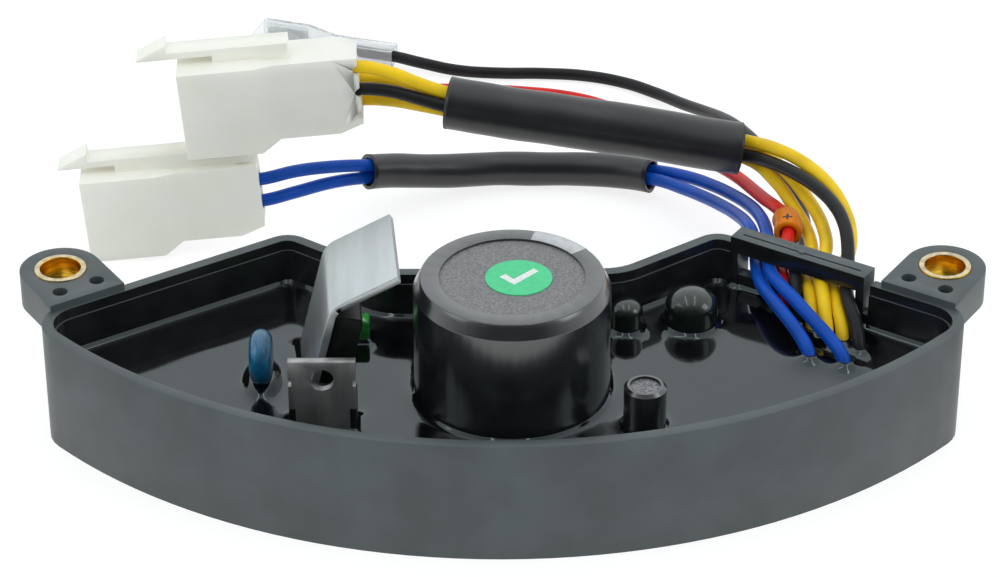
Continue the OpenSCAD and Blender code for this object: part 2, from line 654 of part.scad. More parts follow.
// Heat sink: directions along the upright and the flange, and their normals on the right side
sink_up = [sin(sink_lean), cos(sink_lean)];
sink_right = [cos(sink_lean), -sin(sink_lean)];
flange_dir = [cos(sink_flange_angle), sin(sink_flange_angle)];
flange_under = [sin(sink_flange_angle), -cos(sink_flange_angle)];
bend_c = [0, sink_bend_z]
    + (sink_bend_r + sink_t) * (sink_right + flange_under) / (1 + sink_right * flange_under);
sink_foot = [-(sink_bend_z - board_top) * tan(sink_lean), board_top];
sink_skin = [sink_t / cos(sink_lean), 0];

// Frame of the bend, with the profile's X across it and the extrusion along it
module sink_extrude(length) {
    translate([sink_at.x, sink_at.y, 0]) rotate([0, 0, sink_yaw]) translate([0, length / 2, 0])
        rotate([90, 0, 0]) linear_extrude(height = length) children();
}

module heat_sink() {
    a0 = 180 - sink_lean;
    a1 = 90 + sink_flange_angle;
    flange_end = bend_c - sink_bend_r * flange_under + sink_flange_w * flange_dir;
    color("#c3c6c9") sink_extrude(sink_len) polygon(concat(
        [sink_foot],
        arc_points(bend_c, sink_bend_r + sink_t, a0, a1, 5),
        [flange_end - sink_t * flange_under, flange_end],
        arc_points(bend_c, sink_bend_r, a1, a0, 5),
        [sink_foot + sink_skin]));
}

rectifier_foot = sink_foot + sink_skin + rectifier_lift * sink_up + fit * sink_right;
rectifier_h = (sink_bend_z - board_top) / cos(sink_lean) - rectifier_lift - rectifier_drop;

module rectifier() {
    chamfer = 0.6;
    head = rectifier_foot + rectifier_h * sink_up;
    color("#1c1d1f") sink_extrude(rectifier_len) polygon([
        rectifier_foot, rectifier_foot + rectifier_t * sink_right,
        head + rectifier_t * sink_right - chamfer * sink_up,
        head + (rectifier_t - chamfer) * sink_right, head]);
}

module rectifier_leads() {
    middle = rectifier_foot + rectifier_t / 2 * sink_right;
    pitch = rectifier_len / 4;
    color("#c8c8c4") translate([sink_at.x, sink_at.y, 0]) rotate([0, 0, sink_yaw])
        for (k = [-1.5:1.5])
            translate([middle.x - lead_d / 2, k * pitch - lead_d / 2, lead_end])
                cube([lead_d, lead_d, middle.y - lead_d * sin(sink_lean) - lead_end]);
}

// Transistor: its metal tab faces the front, its body is behind
tr_foot = tr_top - tr_tab_h;
// The tab is narrower by the neck on each side up to a share of the body's height
tr_neck = 1;
tr_neck_share = 0.76;
tr_neck_top = tr_foot + tr_body_h * tr_neck_share;
// Distances from the tab's top down to its hole and to its side notches
tr_hole_drop = 3.2;
tr_notch_drop = 3.8;

module tr_frame() {
    translate([tr_at.x, tr_at.y, 0]) children();
}

module tr_tab_outline() {
    w = tr_w / 2;
    notch_z = tr_top - tr_notch_drop;
    bite = 0.5;
    polygon([[-w + tr_neck, tr_foot], [w - tr_neck, tr_foot], [w - tr_neck, tr_neck_top], [w, tr_neck_top],
        [w, notch_z - bite], [w - bite, notch_z - bite], [w - bite, notch_z + bite], [w, notch_z + bite],
        [w, tr_top], [-w, tr_top], [-w, notch_z + bite], [-w + bite, notch_z + bite],
        [-w + bite, notch_z - bite], [-w, notch_z - bite], [-w, tr_neck_top], [-w + tr_neck, tr_neck_top]]);
}

module transistor_tab() {
    hole_z = tr_top - tr_hole_drop;
    color("#8d9094") tr_frame() difference() {
        translate([0, tr_tab_t, 0]) rotate([90, 0, 0]) linear_extrude(height = tr_tab_t) tr_tab_outline();
        translate([0, tr_tab_t + over, hole_z]) rotate([90, 0, 0])
            cylinder(d = tr_hole_d, h = tr_tab_t + 2 * over);
    }
}

module transistor_body() {
    w = tr_w / 2;
    bevel = 0.6;
    color("#1b1c1e") tr_frame() {
        translate([-w, tr_tab_t, tr_foot]) rotate([90, 0, 90]) linear_extrude(height = tr_w) polygon([
            [0, 0], [tr_body_t - bevel, 0], [tr_body_t, bevel], [tr_body_t, tr_body_h - bevel],
            [tr_body_t - bevel, tr_body_h], [0, tr_body_h]]);
        for (x = [-w, w - tr_neck + fit])
            translate([x, 0, tr_foot]) cube([tr_neck - fit, tr_tab_t, tr_neck_top - tr_foot - fit]);
    }
}

module transistor_leads() {
    color("#c8c8c4") tr_frame() for (k = [-1:1])
        translate([k * tr_pitch - lead_d / 2, tr_tab_t + tr_body_t / 2, lead_end])
            cube([lead_d, lead_d, tr_foot - lead_end]);
}

// Two round leads from the board's underside up to a height
module lead_pair(at, top, along = [1, 0]) {
    color("#c8c8c4") for (side = [-0.5, 0.5])
        translate([at.x + side * lead_gap * along.x, at.y + side * lead_gap * along.y, lead_end])
            cylinder(d = lead_d, h = top - lead_end, $fn = 24);
}

module varistor() {
    edge = var_t / 2;
    color("#1f5f8f") translate([var_at.x, var_at.y, var_z]) rotate([0, 90, 0]) difference() {
        rotate_extrude() polygon(concat(
            [[0, -edge]], arc_points([var_d / 2 - edge, 0], edge, -90, 90, 8), [[0, edge]]));
        translate([var_d / 2 - var_flat, -lead_gap, -over - edge])
            cube([var_d, 2 * lead_gap, var_t + 2 * over]);
    }
}

module varistor_leads() {
    lead_pair(var_at, var_z - var_d / 2 + var_flat, [0, 1]);
}

module film_capacitor() {
    color("#2f9a3a") translate([film_at.x - film_l / 2, film_at.y - film_t / 2, board_top + film_lift])
        cube([film_l, film_t, resin_level + film_rise - board_top - film_lift]);
}

module film_capacitor_leads() {
    lead_pair(film_at, board_top + film_lift);
}

// Small electrolytic capacitor: a can in a sleeve turned over its rim
ecap_top = resin_level + ecap_rise;
ecap_bevel = 0.5;

module small_capacitor_can() {
    r = ecap_d / 2 - ecap_sleeve_t - fit;
    top = ecap_top - 2 * ecap_sleeve_t;
    color("#9b9ea2") translate([ecap_at.x, ecap_at.y, 0]) rotate_extrude() polygon([
        [0, board_top], [r, board_top], [r, top - ecap_bevel], [r - ecap_bevel, top], [0, top]]);
}

module small_capacitor_sleeve() {
    r = ecap_d / 2;
    lip = 0.9;
    under = ecap_bevel + ecap_sleeve_t / 2;
    color("#1a1b1d") translate([ecap_at.x, ecap_at.y, 0]) rotate_extrude() polygon([
        [r, board_top], [r, ecap_top - ecap_bevel], [r - ecap_bevel, ecap_top], [r - lip, ecap_top],
        [r - lip, ecap_top - ecap_sleeve_t], [r - under, ecap_top - ecap_sleeve_t],
        [r - ecap_sleeve_t, ecap_top - under], [r - ecap_sleeve_t, board_top]]);
}

module small_capacitor_leads() {
    lead_pair(ecap_at, board_top);
}

module dome(at, d) {
    rise = resin_level + dome_rise;
    cap = [for (p = arc_points([0, 0], d / 2, 0, 90, 10)) [p.x, rise + dome_share * p.y]];
    translate([at.x, at.y, 0]) rotate_extrude() polygon(concat([[0, board_top], [d / 2, board_top]], cap));
}

module dipped_capacitor_large() {
    color("#1e2522") dome(dome_at, dome_d);
}

module dipped_capacitor_small() {
    color("#1e2522") dome(dome_small_at, dome_small_d);
}

module dipped_capacitor_leads() {
    lead_pair(dome_at, board_top);
    lead_pair(dome_small_at, board_top);
}

// Connectors: a wide mouth, a taper to a slim part, and a tapered tail, with a latch bar on top
function plug_side(low, high, step, tail) = [
    [0, low], [plug_front, low], [slim_start, low + step], [tail_start, low + step],
    [plug_len, low + step + tail], [plug_len, high - tail], [tail_start, high - step / 4],
    [slim_start, high - step / 4], [plug_front, high], [0, high]];
function plug_plan(depth, step, tail) = [[0, 0], [plug_front, 0], [slim_start, step], [tail_start, step],
    [plug_len, step + tail], [plug_len, depth - step - tail], [tail_start, depth - step],
    [slim_start, depth - step], [plug_front, depth], [0, depth]];

module two_frame() {
    translate(two_at) rotate([0, -plug_pitch_up, plug_yaw]) children();
}

module six_frame() {
    two_frame() translate(six_shift) children();
}

// Latch bar that springs in front of its root, with a barb on its nose
module latch(depth, height, nose, lever) {
    low = latch_gap;
    high = latch_gap + latch_t;
    foot = -plug_step / 4 - fit;
    tip = 0.3;
    barb = barb_len - nose;
    translate([0, (depth + latch_w) / 2, height]) rotate([90, 0, 0]) linear_extrude(height = latch_w)
        polygon([[-nose, low], [latch_free, low], [latch_free, foot], [lever, foot], [lever, high],
            [barb, high], [barb, high + barb_h], [-nose, low + tip]]);
}

module plug_housing(depth, height, wires, nose, lever) {
    tail = 1;
    difference() {
        union() {
            intersection() {
                translate([0, depth, 0]) rotate([90, 0, 0]) linear_extrude(height = depth)
                    polygon(plug_side(0, height, plug_step, tail));
                linear_extrude(height = height) polygon(plug_plan(depth, plug_step, tail));
            }
            latch(depth, height, nose, lever);
        }
        translate([-over, plug_wall, plug_wall])
            cube([mouth_depth + over, depth - 2 * plug_wall, height - 2 * plug_wall]);
        for (w = wires)
            translate([mouth_depth - over, w[0], w[1]]) rotate([0, 90, 0])
                cylinder(d = cavity_d, h = plug_len);
    }
}

// Flat pins in the mouth, with round crimps back to the wires
module plug_pins(wires) {
    pin_start = 4.5;
    pin = [mouth_depth + fit - pin_start, 0.8, 2.2];
    for (w = wires) {
        translate([pin_start, w[0] - pin.y / 2, w[1] - pin.z / 2]) cube(pin);
        translate([mouth_depth, w[0], w[1]]) rotate([0, 90, 0])
            cylinder(d = wire_d, h = crimp_end - mouth_depth);
    }
}

module two_pin_housing() {
    color("#eef0ec") two_frame() plug_housing(two_d, two_h, two_wires, two_nose, two_lever);
}

module two_pin_terminals() {
    color("#c9b36a") two_frame() plug_pins(two_wires);
}

module six_pin_housing() {
    color("#eef0ec") six_frame() plug_housing(six_d, six_h, six_wires, six_nose, six_lever);
}

module six_pin_terminals() {
    color("#c9b36a") six_frame() plug_pins(six_wires);
}

up = [0, 0, 1];

module blue_wire_a() {
    color("#1f4fd0") cord(blue_a_route, wire_d, up);
}

module blue_wire_b() {
    color("#1f4fd0") cord(blue_b_route, wire_d, up);
}

module yellow_wire_a() {
    color("#f2c313") cord(yellow_a_route, wire_d, up);
}

module yellow_wire_b() {
    color("#f2c313") cord(yellow_b_route, wire_d, up);
}

module yellow_wire_c() {
    color("#f2c313") cord(yellow_c_route, wire_d, up);
}

module black_wire() {
    color("#2a2b2d") cord(black_route, wire_d, up);
}

module red_brush_lead() {
    color("#d8242a") cord(red_route, wire_d, up);
}

module black_brush_lead() {
    color("#2a2b2d") cord(brush_black_route, wire_d, up);
}

module small_sleeve() {
    color("#3a3c3f") pipe(small_sleeve_route, small_sleeve_d, sleeve_wall);
}

module large_sleeve() {
    color("#333538") pipe(large_sleeve_route, large_sleeve_d, sleeve_wall);
}

// The tag follows the red lead round one of its bends
tag_point = red_route[7];
tag_route = [tag_point + tag_len / 2 * unit(red_route[6] - tag_point), tag_point,
    tag_point + tag_len / 2 * unit(red_route[8] - tag_point)];

module polarity_tag() {
    color("#f08a1d") pipe(tag_route, tag_d, tag_wall);
}

// Brush terminals: a crimp round the wire's end and a flat receptacle with rolled edges, lying on the surface
module spade_frame(route) {
    last = route[len(route) - 1];
    run = last - route[len(route) - 2];
    translate([last.x, last.y, 0]) rotate([0, 0, atan2(run.y, run.x)]) children();
}

spade_z = 0.9;
spade_h = 2.6;
// Length of the terminal's neck, with its two crimps
neck_len = 8.5;

module spade() {
    strip = 0.5;
    roll = 1.3;
    // Start, length and height of each crimp
    crimps = [[0, 3.4, spade_h], [4.4, 2.8, spade_h - strip]];
    translate([neck_len, 0, spade_z]) {
        translate([0, -spade_w / 2, 0]) cube([spade_len, spade_w, strip]);
        for (side = [-1, 1])
            translate([0, side * (spade_w / 2 - roll / 2) - roll / 2, 0]) difference() {
                cube([spade_len, roll, spade_h]);
                translate([-over, side > 0 ? -over : strip, strip])
                    cube([spade_len + 2 * over, roll + over - strip, spade_h - 2 * strip]);
            }
    }
    translate([0, -wire_d / 2, spade_z]) cube([neck_len + fit, wire_d, strip]);
    for (c = crimps)
        translate([c[0], -wire_d / 2, spade_z]) cube([c[1], wire_d, c[2]]);
}

// Clear cover: wide over the receptacle, and drawn in round the wire
cover_gap = 0.3;
cover_skin = 0.5;

module cover_shell(grow) {
    wide = spade_w / 2 + cover_gap + grow;
    slim = wire_d / 2 + cover_gap + grow;
    axis = spade_z + spade_h / 2;
    high = spade_h / 2 + cover_gap + grow;
    ends = [-cover_tail, neck_len + spade_len + over] + (grow > 0 ? [0, 0] : [-over, over]);
    shoulder = [neck_len / 4, neck_len];
    intersection() {
        translate([0, 0, axis - high]) linear_extrude(height = 2 * high) polygon([
            [ends[0], -slim], [shoulder[0], -slim], [shoulder[1], -wide], [ends[1], -wide],
            [ends[1], wide], [shoulder[1], wide], [shoulder[0], slim], [ends[0], slim]]);
        translate([0, wide, axis]) rotate([90, 0, 0]) linear_extrude(height = 2 * wide) polygon([
            [ends[0], -slim], [shoulder[0], -slim], [shoulder[1], -high], [ends[1], -high],
            [ends[1], high], [shoulder[1], high], [shoulder[0], slim], [ends[0], slim]]);
    }
}

module spade_cover() {
    difference() {
        cover_shell(cover_skin);
        cover_shell(0);
    }
}

module black_brush_terminal() {
    color("#c9cbcd") spade_frame(brush_black_route) spade();
}

module black_brush_cover() {
    color("#e9eef0", 0.5) spade_frame(brush_black_route) spade_cover();
}

module red_brush_terminal() {
    color("#c9cbcd") spade_frame(red_route) spade();
}

module red_brush_cover() {
    color("#e9eef0", 0.5) spade_frame(red_route) spade_cover();
}

housing();
bush_left();
bush_right();
potting();
circuit_board();
control_board();
capacitor_sleeve();
capacitor_can();
capacitor_top_disc();
capacitor_terminals();
inspection_sticker();
heat_sink();
rectifier();
rectifier_leads();
transistor_tab();
transistor_body();
transistor_leads();
varistor();
varistor_leads();
film_capacitor();
film_capacitor_leads();
small_capacitor_can();
small_capacitor_sleeve();
small_capacitor_leads();
dipped_capacitor_large();
dipped_capacitor_small();
dipped_capacitor_leads();
blue_wire_a();
blue_wire_b();
small_sleeve();
two_pin_housing();
two_pin_terminals();
yellow_wire_a();
yellow_wire_b();
yellow_wire_c();
black_wire();
large_sleeve();
six_pin_housing();
six_pin_terminals();
red_brush_lead();
polarity_tag();
red_brush_terminal();
red_brush_cover();
black_brush_lead();
black_brush_terminal();
black_brush_cover();
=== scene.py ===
"""Looks of the automatic voltage regulator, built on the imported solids."""
import math

import bmesh
import bpy
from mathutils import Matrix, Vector, kdtree, noise
from mathutils.bvhtree import BVHTree
from mathutils.geometry import delaunay_2d_cdt


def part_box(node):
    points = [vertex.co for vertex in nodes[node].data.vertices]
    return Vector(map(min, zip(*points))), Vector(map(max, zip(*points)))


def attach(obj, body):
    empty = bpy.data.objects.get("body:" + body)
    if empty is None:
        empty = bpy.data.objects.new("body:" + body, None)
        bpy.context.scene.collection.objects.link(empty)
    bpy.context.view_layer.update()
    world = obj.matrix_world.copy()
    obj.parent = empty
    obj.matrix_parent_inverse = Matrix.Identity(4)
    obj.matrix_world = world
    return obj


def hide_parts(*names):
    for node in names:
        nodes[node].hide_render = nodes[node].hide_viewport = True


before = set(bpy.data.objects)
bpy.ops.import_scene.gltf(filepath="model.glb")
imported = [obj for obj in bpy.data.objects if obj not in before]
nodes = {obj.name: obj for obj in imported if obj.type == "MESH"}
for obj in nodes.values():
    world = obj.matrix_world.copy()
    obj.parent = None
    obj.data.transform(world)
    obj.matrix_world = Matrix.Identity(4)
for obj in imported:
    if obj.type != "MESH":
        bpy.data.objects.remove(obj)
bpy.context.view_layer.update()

MM = 0.001
UP = Vector((0, 0, 1))

# The photograph's view, fitted to the fixing holes, the rim and the base
PHOTO_WIDTH = 1000
FOCAL_PX = 3421.2
SENSOR_MM = 36.0
LOOK_AT = Vector((-0.44, 46.87, 0.0)) * MM
DISTANCE = 576.9 * MM
ELEVATION = math.radians(31.46)
ROLL = math.radians(-0.17)
CLIP_START = 10 * MM

# Sizes shared with the part's source, in millimetres
WIRE_D = 2.2
RESIN_LEVEL = 12.3
LARGE_SLEEVE_R = 4.5
SMALL_SLEEVE_R = 3.1
SLEEVE_WALL = 0.6
TAG_R = 2.35
TAG_WALL = 0.9
TAG_LENGTH = 5.0
CAPACITOR_AT = Vector((1.4, -2.8, 0.0))
CAPACITOR_R = 15.1
CAPACITOR_TOP = 32.6
CAPACITOR_SHOULDER = (1.0, 2.2)
CAPACITOR_EDGE = 0.2
CAPACITOR_LIP = 4.0
VARISTOR_AT = Vector((-37.3, -0.8, 0.0))

# Points closer than this are one, and how finely bevels, cords, tubes and prints are cut
WELD = 0.002
BEVEL_SEGMENTS = 3
CORD_STEPS = 6
PATH_STEPS = 8
TUBE_SIDES = 40
PLUS_STEPS = 6
WRAP_STEPS = 24
# Faces are level over the first height of their unit normal, and upright under the second
LEVEL_NORMAL = 0.9
UPRIGHT_NORMAL = 0.5

# Sleeves: slack under their full radius, waves, and a flare that fades from each end
SLEEVE_SLACK = 0.1
WAVE_HEIGHT = 0.09
WAVE_COUNT = 9
WAVE_SEED = 7
FLARE_HEIGHT = 0.1
FLARE_FADE = 48
# A direction that no tube runs along, to start its rings from
FIRST_SIDE = Vector((0.2, 0.3, 1.0))

# Tag: its three points on the red lead, slack under its full radius, and the taper of its ends
TAG_BEND = slice(6, 9)
TAG_SLACK = 0.02
TAG_TAPER = 0.06
# The tag's plus sign: half sizes of its bars along and across, rings before the middle, and the way it faces
PLUS_BARS = {"plus_along": (0.8, 0.17), "plus_across": (0.17, 0.8)}
PLUS_SHIFT = 3
PLUS_FACES = Vector((-0.15, -0.75, 0.65))

# Printed marks: their height over the piece they are on, and their thickness
PRINT_GAP = 0.03
PLUS_GAP = 0.02
TICK_GAP = 0.01
PRINT_INK = 0.02
PLUS_INK = 0.04
# The big capacitor's stripe and its bars: degrees round the capacitor, and heights over the resin
STRIPE_ANGLES = (35, 75)
STRIPE_FOOT = 1
BAR_ANGLES = (47, 63)
BAR_COUNT = 3
BAR_FOOT = 3.4
BAR_PITCH = 5.2
BAR_HEIGHT = 1.1
# Outline of the sticker's tick, and its two halves
TICK = [(-2.9, 0.2), (-2.0, 1.0), (-0.8, -0.5), (2.3, 2.6), (3.0, 1.8), (-0.7, -2.1)]
TICK_HALVES = [(2, 1, 0, 5), (2, 5, 4, 3)]

# Spacing of the resin surface's points along its shores and away from them, and rows beside the shores,
# with the parts of each step that distances are measured to and the directions tried round corners
SHORE_STEP = 0.5
SHORE_PARTS = 8
GRID_STEP = 0.8
SHORE_ROWS = (0.15, 0.35, 0.6, 0.95, 1.4)
ROW_FAN = 12
# Rings round each wire, and round the varistor as shares of its mound's half sizes, with their points
WIRE_RINGS = (0.6, 0.9, 1.1, 1.3, 1.55, 1.9, 2.4, 3.0, 3.8, 4.8)
WIRE_FAN = 24
MOUND_RINGS = (0.3, 0.55, 0.7, 0.8, 0.9, 1.0, 1.1, 1.25, 1.45, 1.7)
MOUND_FAN = 40
MOUND_HALF = (2.3, 4.6)
# Share of a row's distance that its points keep from every shore, and how far apart points stay:
# in a row, with a share of its distance added, in a ring, and in the grid as a share of its step
ROW_SHARE = 0.93
ROW_APART, ROW_APART_SHARE = 0.1, 0.25
RING_APART = 0.15
GRID_APART_SHARE = 0.6
# Points of the flat surface that are closer than this are joined
FLAT_GAP = 1e-5
# How far under its level the resin's top is still looked for, and the height that points are dropped from
LEVEL_SLACK = 0.05
DROP_HEIGHT = 1000
# How far beside an edge and before a wall the resin is looked for
EDGE_PROBE = 0.05
WALL_PROBE = 0.8
# How high walls and components, wires and the varistor draw the resin up, and how far that reaches
SHORE_RISE, SHORE_REACH = 0.85, 0.55
WIRE_RISE, WIRE_REACH = 1.1, 1.4
MOUND_RISE, MOUND_REACH, MOUND_FLAT = 1.1, 0.4, 0.75
# Height and size of the resin's slight swell
SWELL_RISE, SWELL_SIZE = 0.06, 11
# How far the resin's edge goes into the piece that it touches
EDGE_TUCK = 0.15

# Strength of the studio's even light, and the tint of that light and of the lamps
AMBIENT = 0.79
COOL_WHITE = (0.95, 1.0, 1.02, 1)
# How the studio's brightness in mirrors goes from its front to its back: two directions, two strengths
FRONT_DIMMING = (-0.8, 0.0, 0.08, 1.0)
# Floor: half its side in metres, its tone, and to the eye its glow and the tone that takes shadows
FLOOR_HALF = 3.0
FLOOR_TONE = 0.9
FLOOR_GLOW = 0.8
SHADOW_TONE = 0.3
# Lamps: place and size in metres and power in watts, all aimed at one point
LAMP_TARGET = Vector((0, 0.03, 0.01))
LAMPS = {
    "left_strip": ((-0.26, 0.03, 1.0), (0.9, 0.05), 0.45),
    "right_strip": ((0.2, 0.03, 1.0), (0.9, 0.05), 0.45),
    "left_softbox": ((-0.85, -0.25, 0.65), (0.5, 0.5), 1.0),
    "right_softbox": ((0.85, -0.25, 0.6), (0.4, 0.5), 1.3),
    "back_softbox": ((0.0, 0.9, 0.8), (1.6, 0.9), 1.0),
}

# Routes of the wires in millimetres, from the resin to their far ends, as in the part's source
ROUTES = {
    "blue_wire_a": [
        (48, 5, 12.3), (47.6, 6, 13.6), (46.4, 8.8, 14.8), (44.6, 12.8, 15.6), (42.8, 17, 16),
        (41.5, 21, 16.1), (41, 24.6, 16.1), (41, 28.9, 16.1), (41.1, 33.4, 15.9), (41.1, 39, 15.1),
        (40.6, 45, 13.6), (39.4, 51.4, 11.6), (37.4, 58, 9.5), (34.6, 64.6, 7.5), (31.2, 70.6, 5.8),
        (26.8, 76.1, 4.4), (20.5, 79.2, 3.5), (13.6, 80.9, 2.9), (6.5, 81.3, 2.5), (-0.6, 81.2, 2.4),
        (-7, 79.9, 2.9), (-13, 78, 4), (-18.6, 75.8, 5.4), (-24, 73, 6.7), (-29.6, 69.4, 7.8),
        (-35.4, 65, 8.5), (-41, 62.1, 8.5), (-46.7, 61.9, 8.1)],
    "blue_wire_b": [
        (53.4, 3, 12.3), (52.9, 4, 13.6), (51.4, 6.6, 14.9), (49, 10.4, 16), (46.6, 14.6, 16.9),
        (44.2, 19, 17.5), (42.9, 22.6, 17.6), (42.9, 27.6, 17.5), (43.2, 31.6, 17.2), (43.3, 36.4, 16.3),
        (43.3, 42, 15.1), (42.8, 48, 13.6), (41.6, 54.4, 11.8), (39.4, 61, 9.9), (36.4, 67.6, 8),
        (32.4, 73.8, 6.2), (27.7, 78.5, 4.7), (20.8, 81.5, 3.9), (13.8, 83.1, 3.5), (6.5, 83.3, 3.9),
        (-0.4, 82.7, 4.3), (-7.1, 80.7, 5.1), (-13.2, 78.2, 6.3), (-18.6, 75.6, 7.8), (-24, 72.8, 9.3),
        (-29.5, 69.3, 11), (-35.3, 65.2, 12.5), (-41.2, 62.1, 12.7), (-46.9, 61.9, 12.3)],
    "yellow_wire_a": [
        (49, 12.6, 12.3), (49, 13.5, 13.6), (48.9, 15.6, 15.1), (48.9, 18, 15.9), (48.8, 20.6, 16.1),
        (48.8, 24, 16.1), (49.7, 28, 16.1), (50.2, 31.6, 16.1), (50.3, 36, 15.8), (49.8, 41, 15.5),
        (48.3, 46.8, 15.9), (45.7, 53, 17.2), (41.2, 58.5, 18.5), (36.5, 58.2, 19.5), (29, 57.5, 21.4),
        (22.6, 57.3, 22.8), (16.3, 57.2, 23.9), (9.6, 57.5, 24.9), (2.9, 58, 25.7), (-3.2, 58.9, 26.4),
        (-8.6, 60, 26.9), (-13.9, 62, 27), (-18.9, 64.7, 26.5), (-24.1, 66.2, 25.9), (-29.3, 66, 25.5)],
    "yellow_wire_b": [
        (51.1, 10.2, 12.3), (51.1, 11.2, 13.6), (50.9, 13.4, 15.4), (50.8, 16, 16.8), (50.7, 18.8, 17.5),
        (50.7, 22.6, 17.5), (51.6, 26.6, 17.6), (52.4, 30.6, 17.7), (52.5, 35.4, 17.6), (51.9, 41, 17.5),
        (50.3, 47, 17.8), (47.2, 53.6, 18.9), (41.8, 60.1, 20.5), (36.5, 59.8, 21.2), (29, 59.1, 23),
        (22.6, 58.9, 24.4), (16.3, 58.8, 25.5), (9.6, 59.1, 26.5), (2.9, 59.6, 27.3), (-3.2, 60.5, 28),
        (-8.6, 61.6, 28.5), (-13.9, 63.4, 29.1), (-18.9, 65.5, 29.7), (-24.1, 66.2, 30.1),
        (-29.6, 66, 29.6)],
    "yellow_wire_c": [
        (53.5, 9.6, 12.3), (53.5, 10.5, 13.6), (53.3, 12.6, 15), (53, 15, 15.7), (52.8, 17.4, 16.1),
        (52.8, 21.4, 16.4), (53.5, 24, 16.3), (54.9, 26.5, 16.8), (56.1, 29.4, 18), (56.4, 32.8, 19.3),
        (55.9, 37.1, 20.4), (54, 42.7, 21.8), (50.6, 48.4, 22.7), (46, 53.2, 23.1), (41.2, 57.9, 22.1),
        (36.5, 58.2, 22.8), (29, 57.5, 24.6), (22.6, 57.3, 26), (16.3, 57.2, 27.1), (9.6, 57.5, 28.1),
        (2.9, 58, 28.9), (-3.2, 58.9, 29.6), (-8.6, 60, 30.2), (-13.9, 61, 31.6), (-18.9, 61.9, 33.3),
        (-24.1, 61.9, 34.4), (-29.8, 61.7, 33.9)],
    "black_wire": [
        (55.9, 7, 12.3), (55.8, 8, 13.6), (55.5, 10.4, 15.4), (54.8, 13, 16.8), (54.5, 16, 17.5),
        (54.8, 20, 17.5), (55.1, 22.6, 17.9), (55.4, 25.6, 19.1), (55.5, 28.8, 20.3), (55.2, 32.2, 21.2),
        (54.2, 36.4, 21.8), (52, 41.6, 22), (48.8, 47, 21.8), (45, 52, 21.2), (41, 56.3, 20.3),
        (36.5, 56.5, 21.2), (29, 55.8, 23), (22.6, 55.6, 24.4), (16.3, 55.5, 25.5), (9.6, 55.8, 26.5),
        (2.9, 56.3, 27.3), (-3.2, 57.2, 28), (-8.6, 58.3, 28.5), (-13.9, 60, 29.3), (-18.9, 61.6, 29.9),
        (-24.1, 62, 30.1), (-29.5, 61.8, 29.6)],
    "red_brush_lead": [
        (44.8, 17.4, 12.3), (44.8, 18.3, 13.6), (44.9, 20, 15), (44.9, 22, 16.1), (44.9, 26.4, 16.2),
        (45.4, 30, 16.6), (46.4, 34, 17.2), (46.8, 38, 17.4), (46.4, 42.4, 16.9), (45.4, 47, 15.7),
        (44, 52.4, 14.1), (42.4, 58.4, 12.6), (40.4, 65, 11.1), (37.6, 72.4, 9.2), (34, 80.4, 7.2),
        (30.4, 88.4, 5.1), (27.2, 96.4, 3.1), (23.6, 103.8, 1.7), (18.6, 109.4, 1.2), (12, 112.8, 1.2),
        (4, 114.6, 1.2), (-6, 115.6, 1.2), (-16, 116, 1.2), (-22.5, 116, 1.7), (-28, 116, 2.2),
        (-33, 116, 2.2), (-37, 116, 2.2)],
    "black_brush_lead": [
        (47, 15.4, 12.3), (46.8, 16.3, 13.6), (46.5, 18, 15.4), (46.6, 19.6, 16.6), (46.8, 22, 17.5),
        (46.9, 25.2, 17.4), (47.4, 28, 16.9), (47.9, 31.4, 15.3), (48.5, 35, 14), (49.3, 39, 12.9),
        (50.2, 43.6, 12.4), (50.3, 50, 12.3), (49.4, 57, 12.4), (47.8, 64, 12.6), (45.4, 71, 12.6),
        (43, 79, 11.6), (41.2, 86, 9.8), (39.2, 93, 7.5), (36.6, 100, 5), (33, 107, 2.8),
        (28.4, 113.6, 1.5), (22.8, 118.2, 1.2), (15.6, 121, 1.2), (7.6, 122, 1.2), (-0.6, 122.2, 1.2),
        (-8.4, 123, 1.4), (-15, 125, 1.9), (-20.4, 127.2, 2.2), (-25, 128.7, 2.2), (-29.7, 130.2, 2.2)],
}
SMALL_SLEEVE = [
    (26.2, 77.7, 4.3), (20.7, 80.3, 3.7), (13.7, 82, 3.2), (6.5, 82.3, 3.1), (-0.5, 82, 3.4),
    (-7, 80.3, 4), (-13.1, 78.1, 5.1), (-18.6, 75.7, 6.6), (-23.4, 73.2, 7.8)]
LARGE_SLEEVE = [
    (40, 58.3, 20.5), (36.5, 58.2, 21.1), (29, 57.5, 23), (22.6, 57.3, 24.4), (16.3, 57.2, 25.5),
    (9.6, 57.5, 26.5), (2.9, 58, 27.3), (-3.2, 58.9, 28), (-9, 60, 28.5)]


# Materials

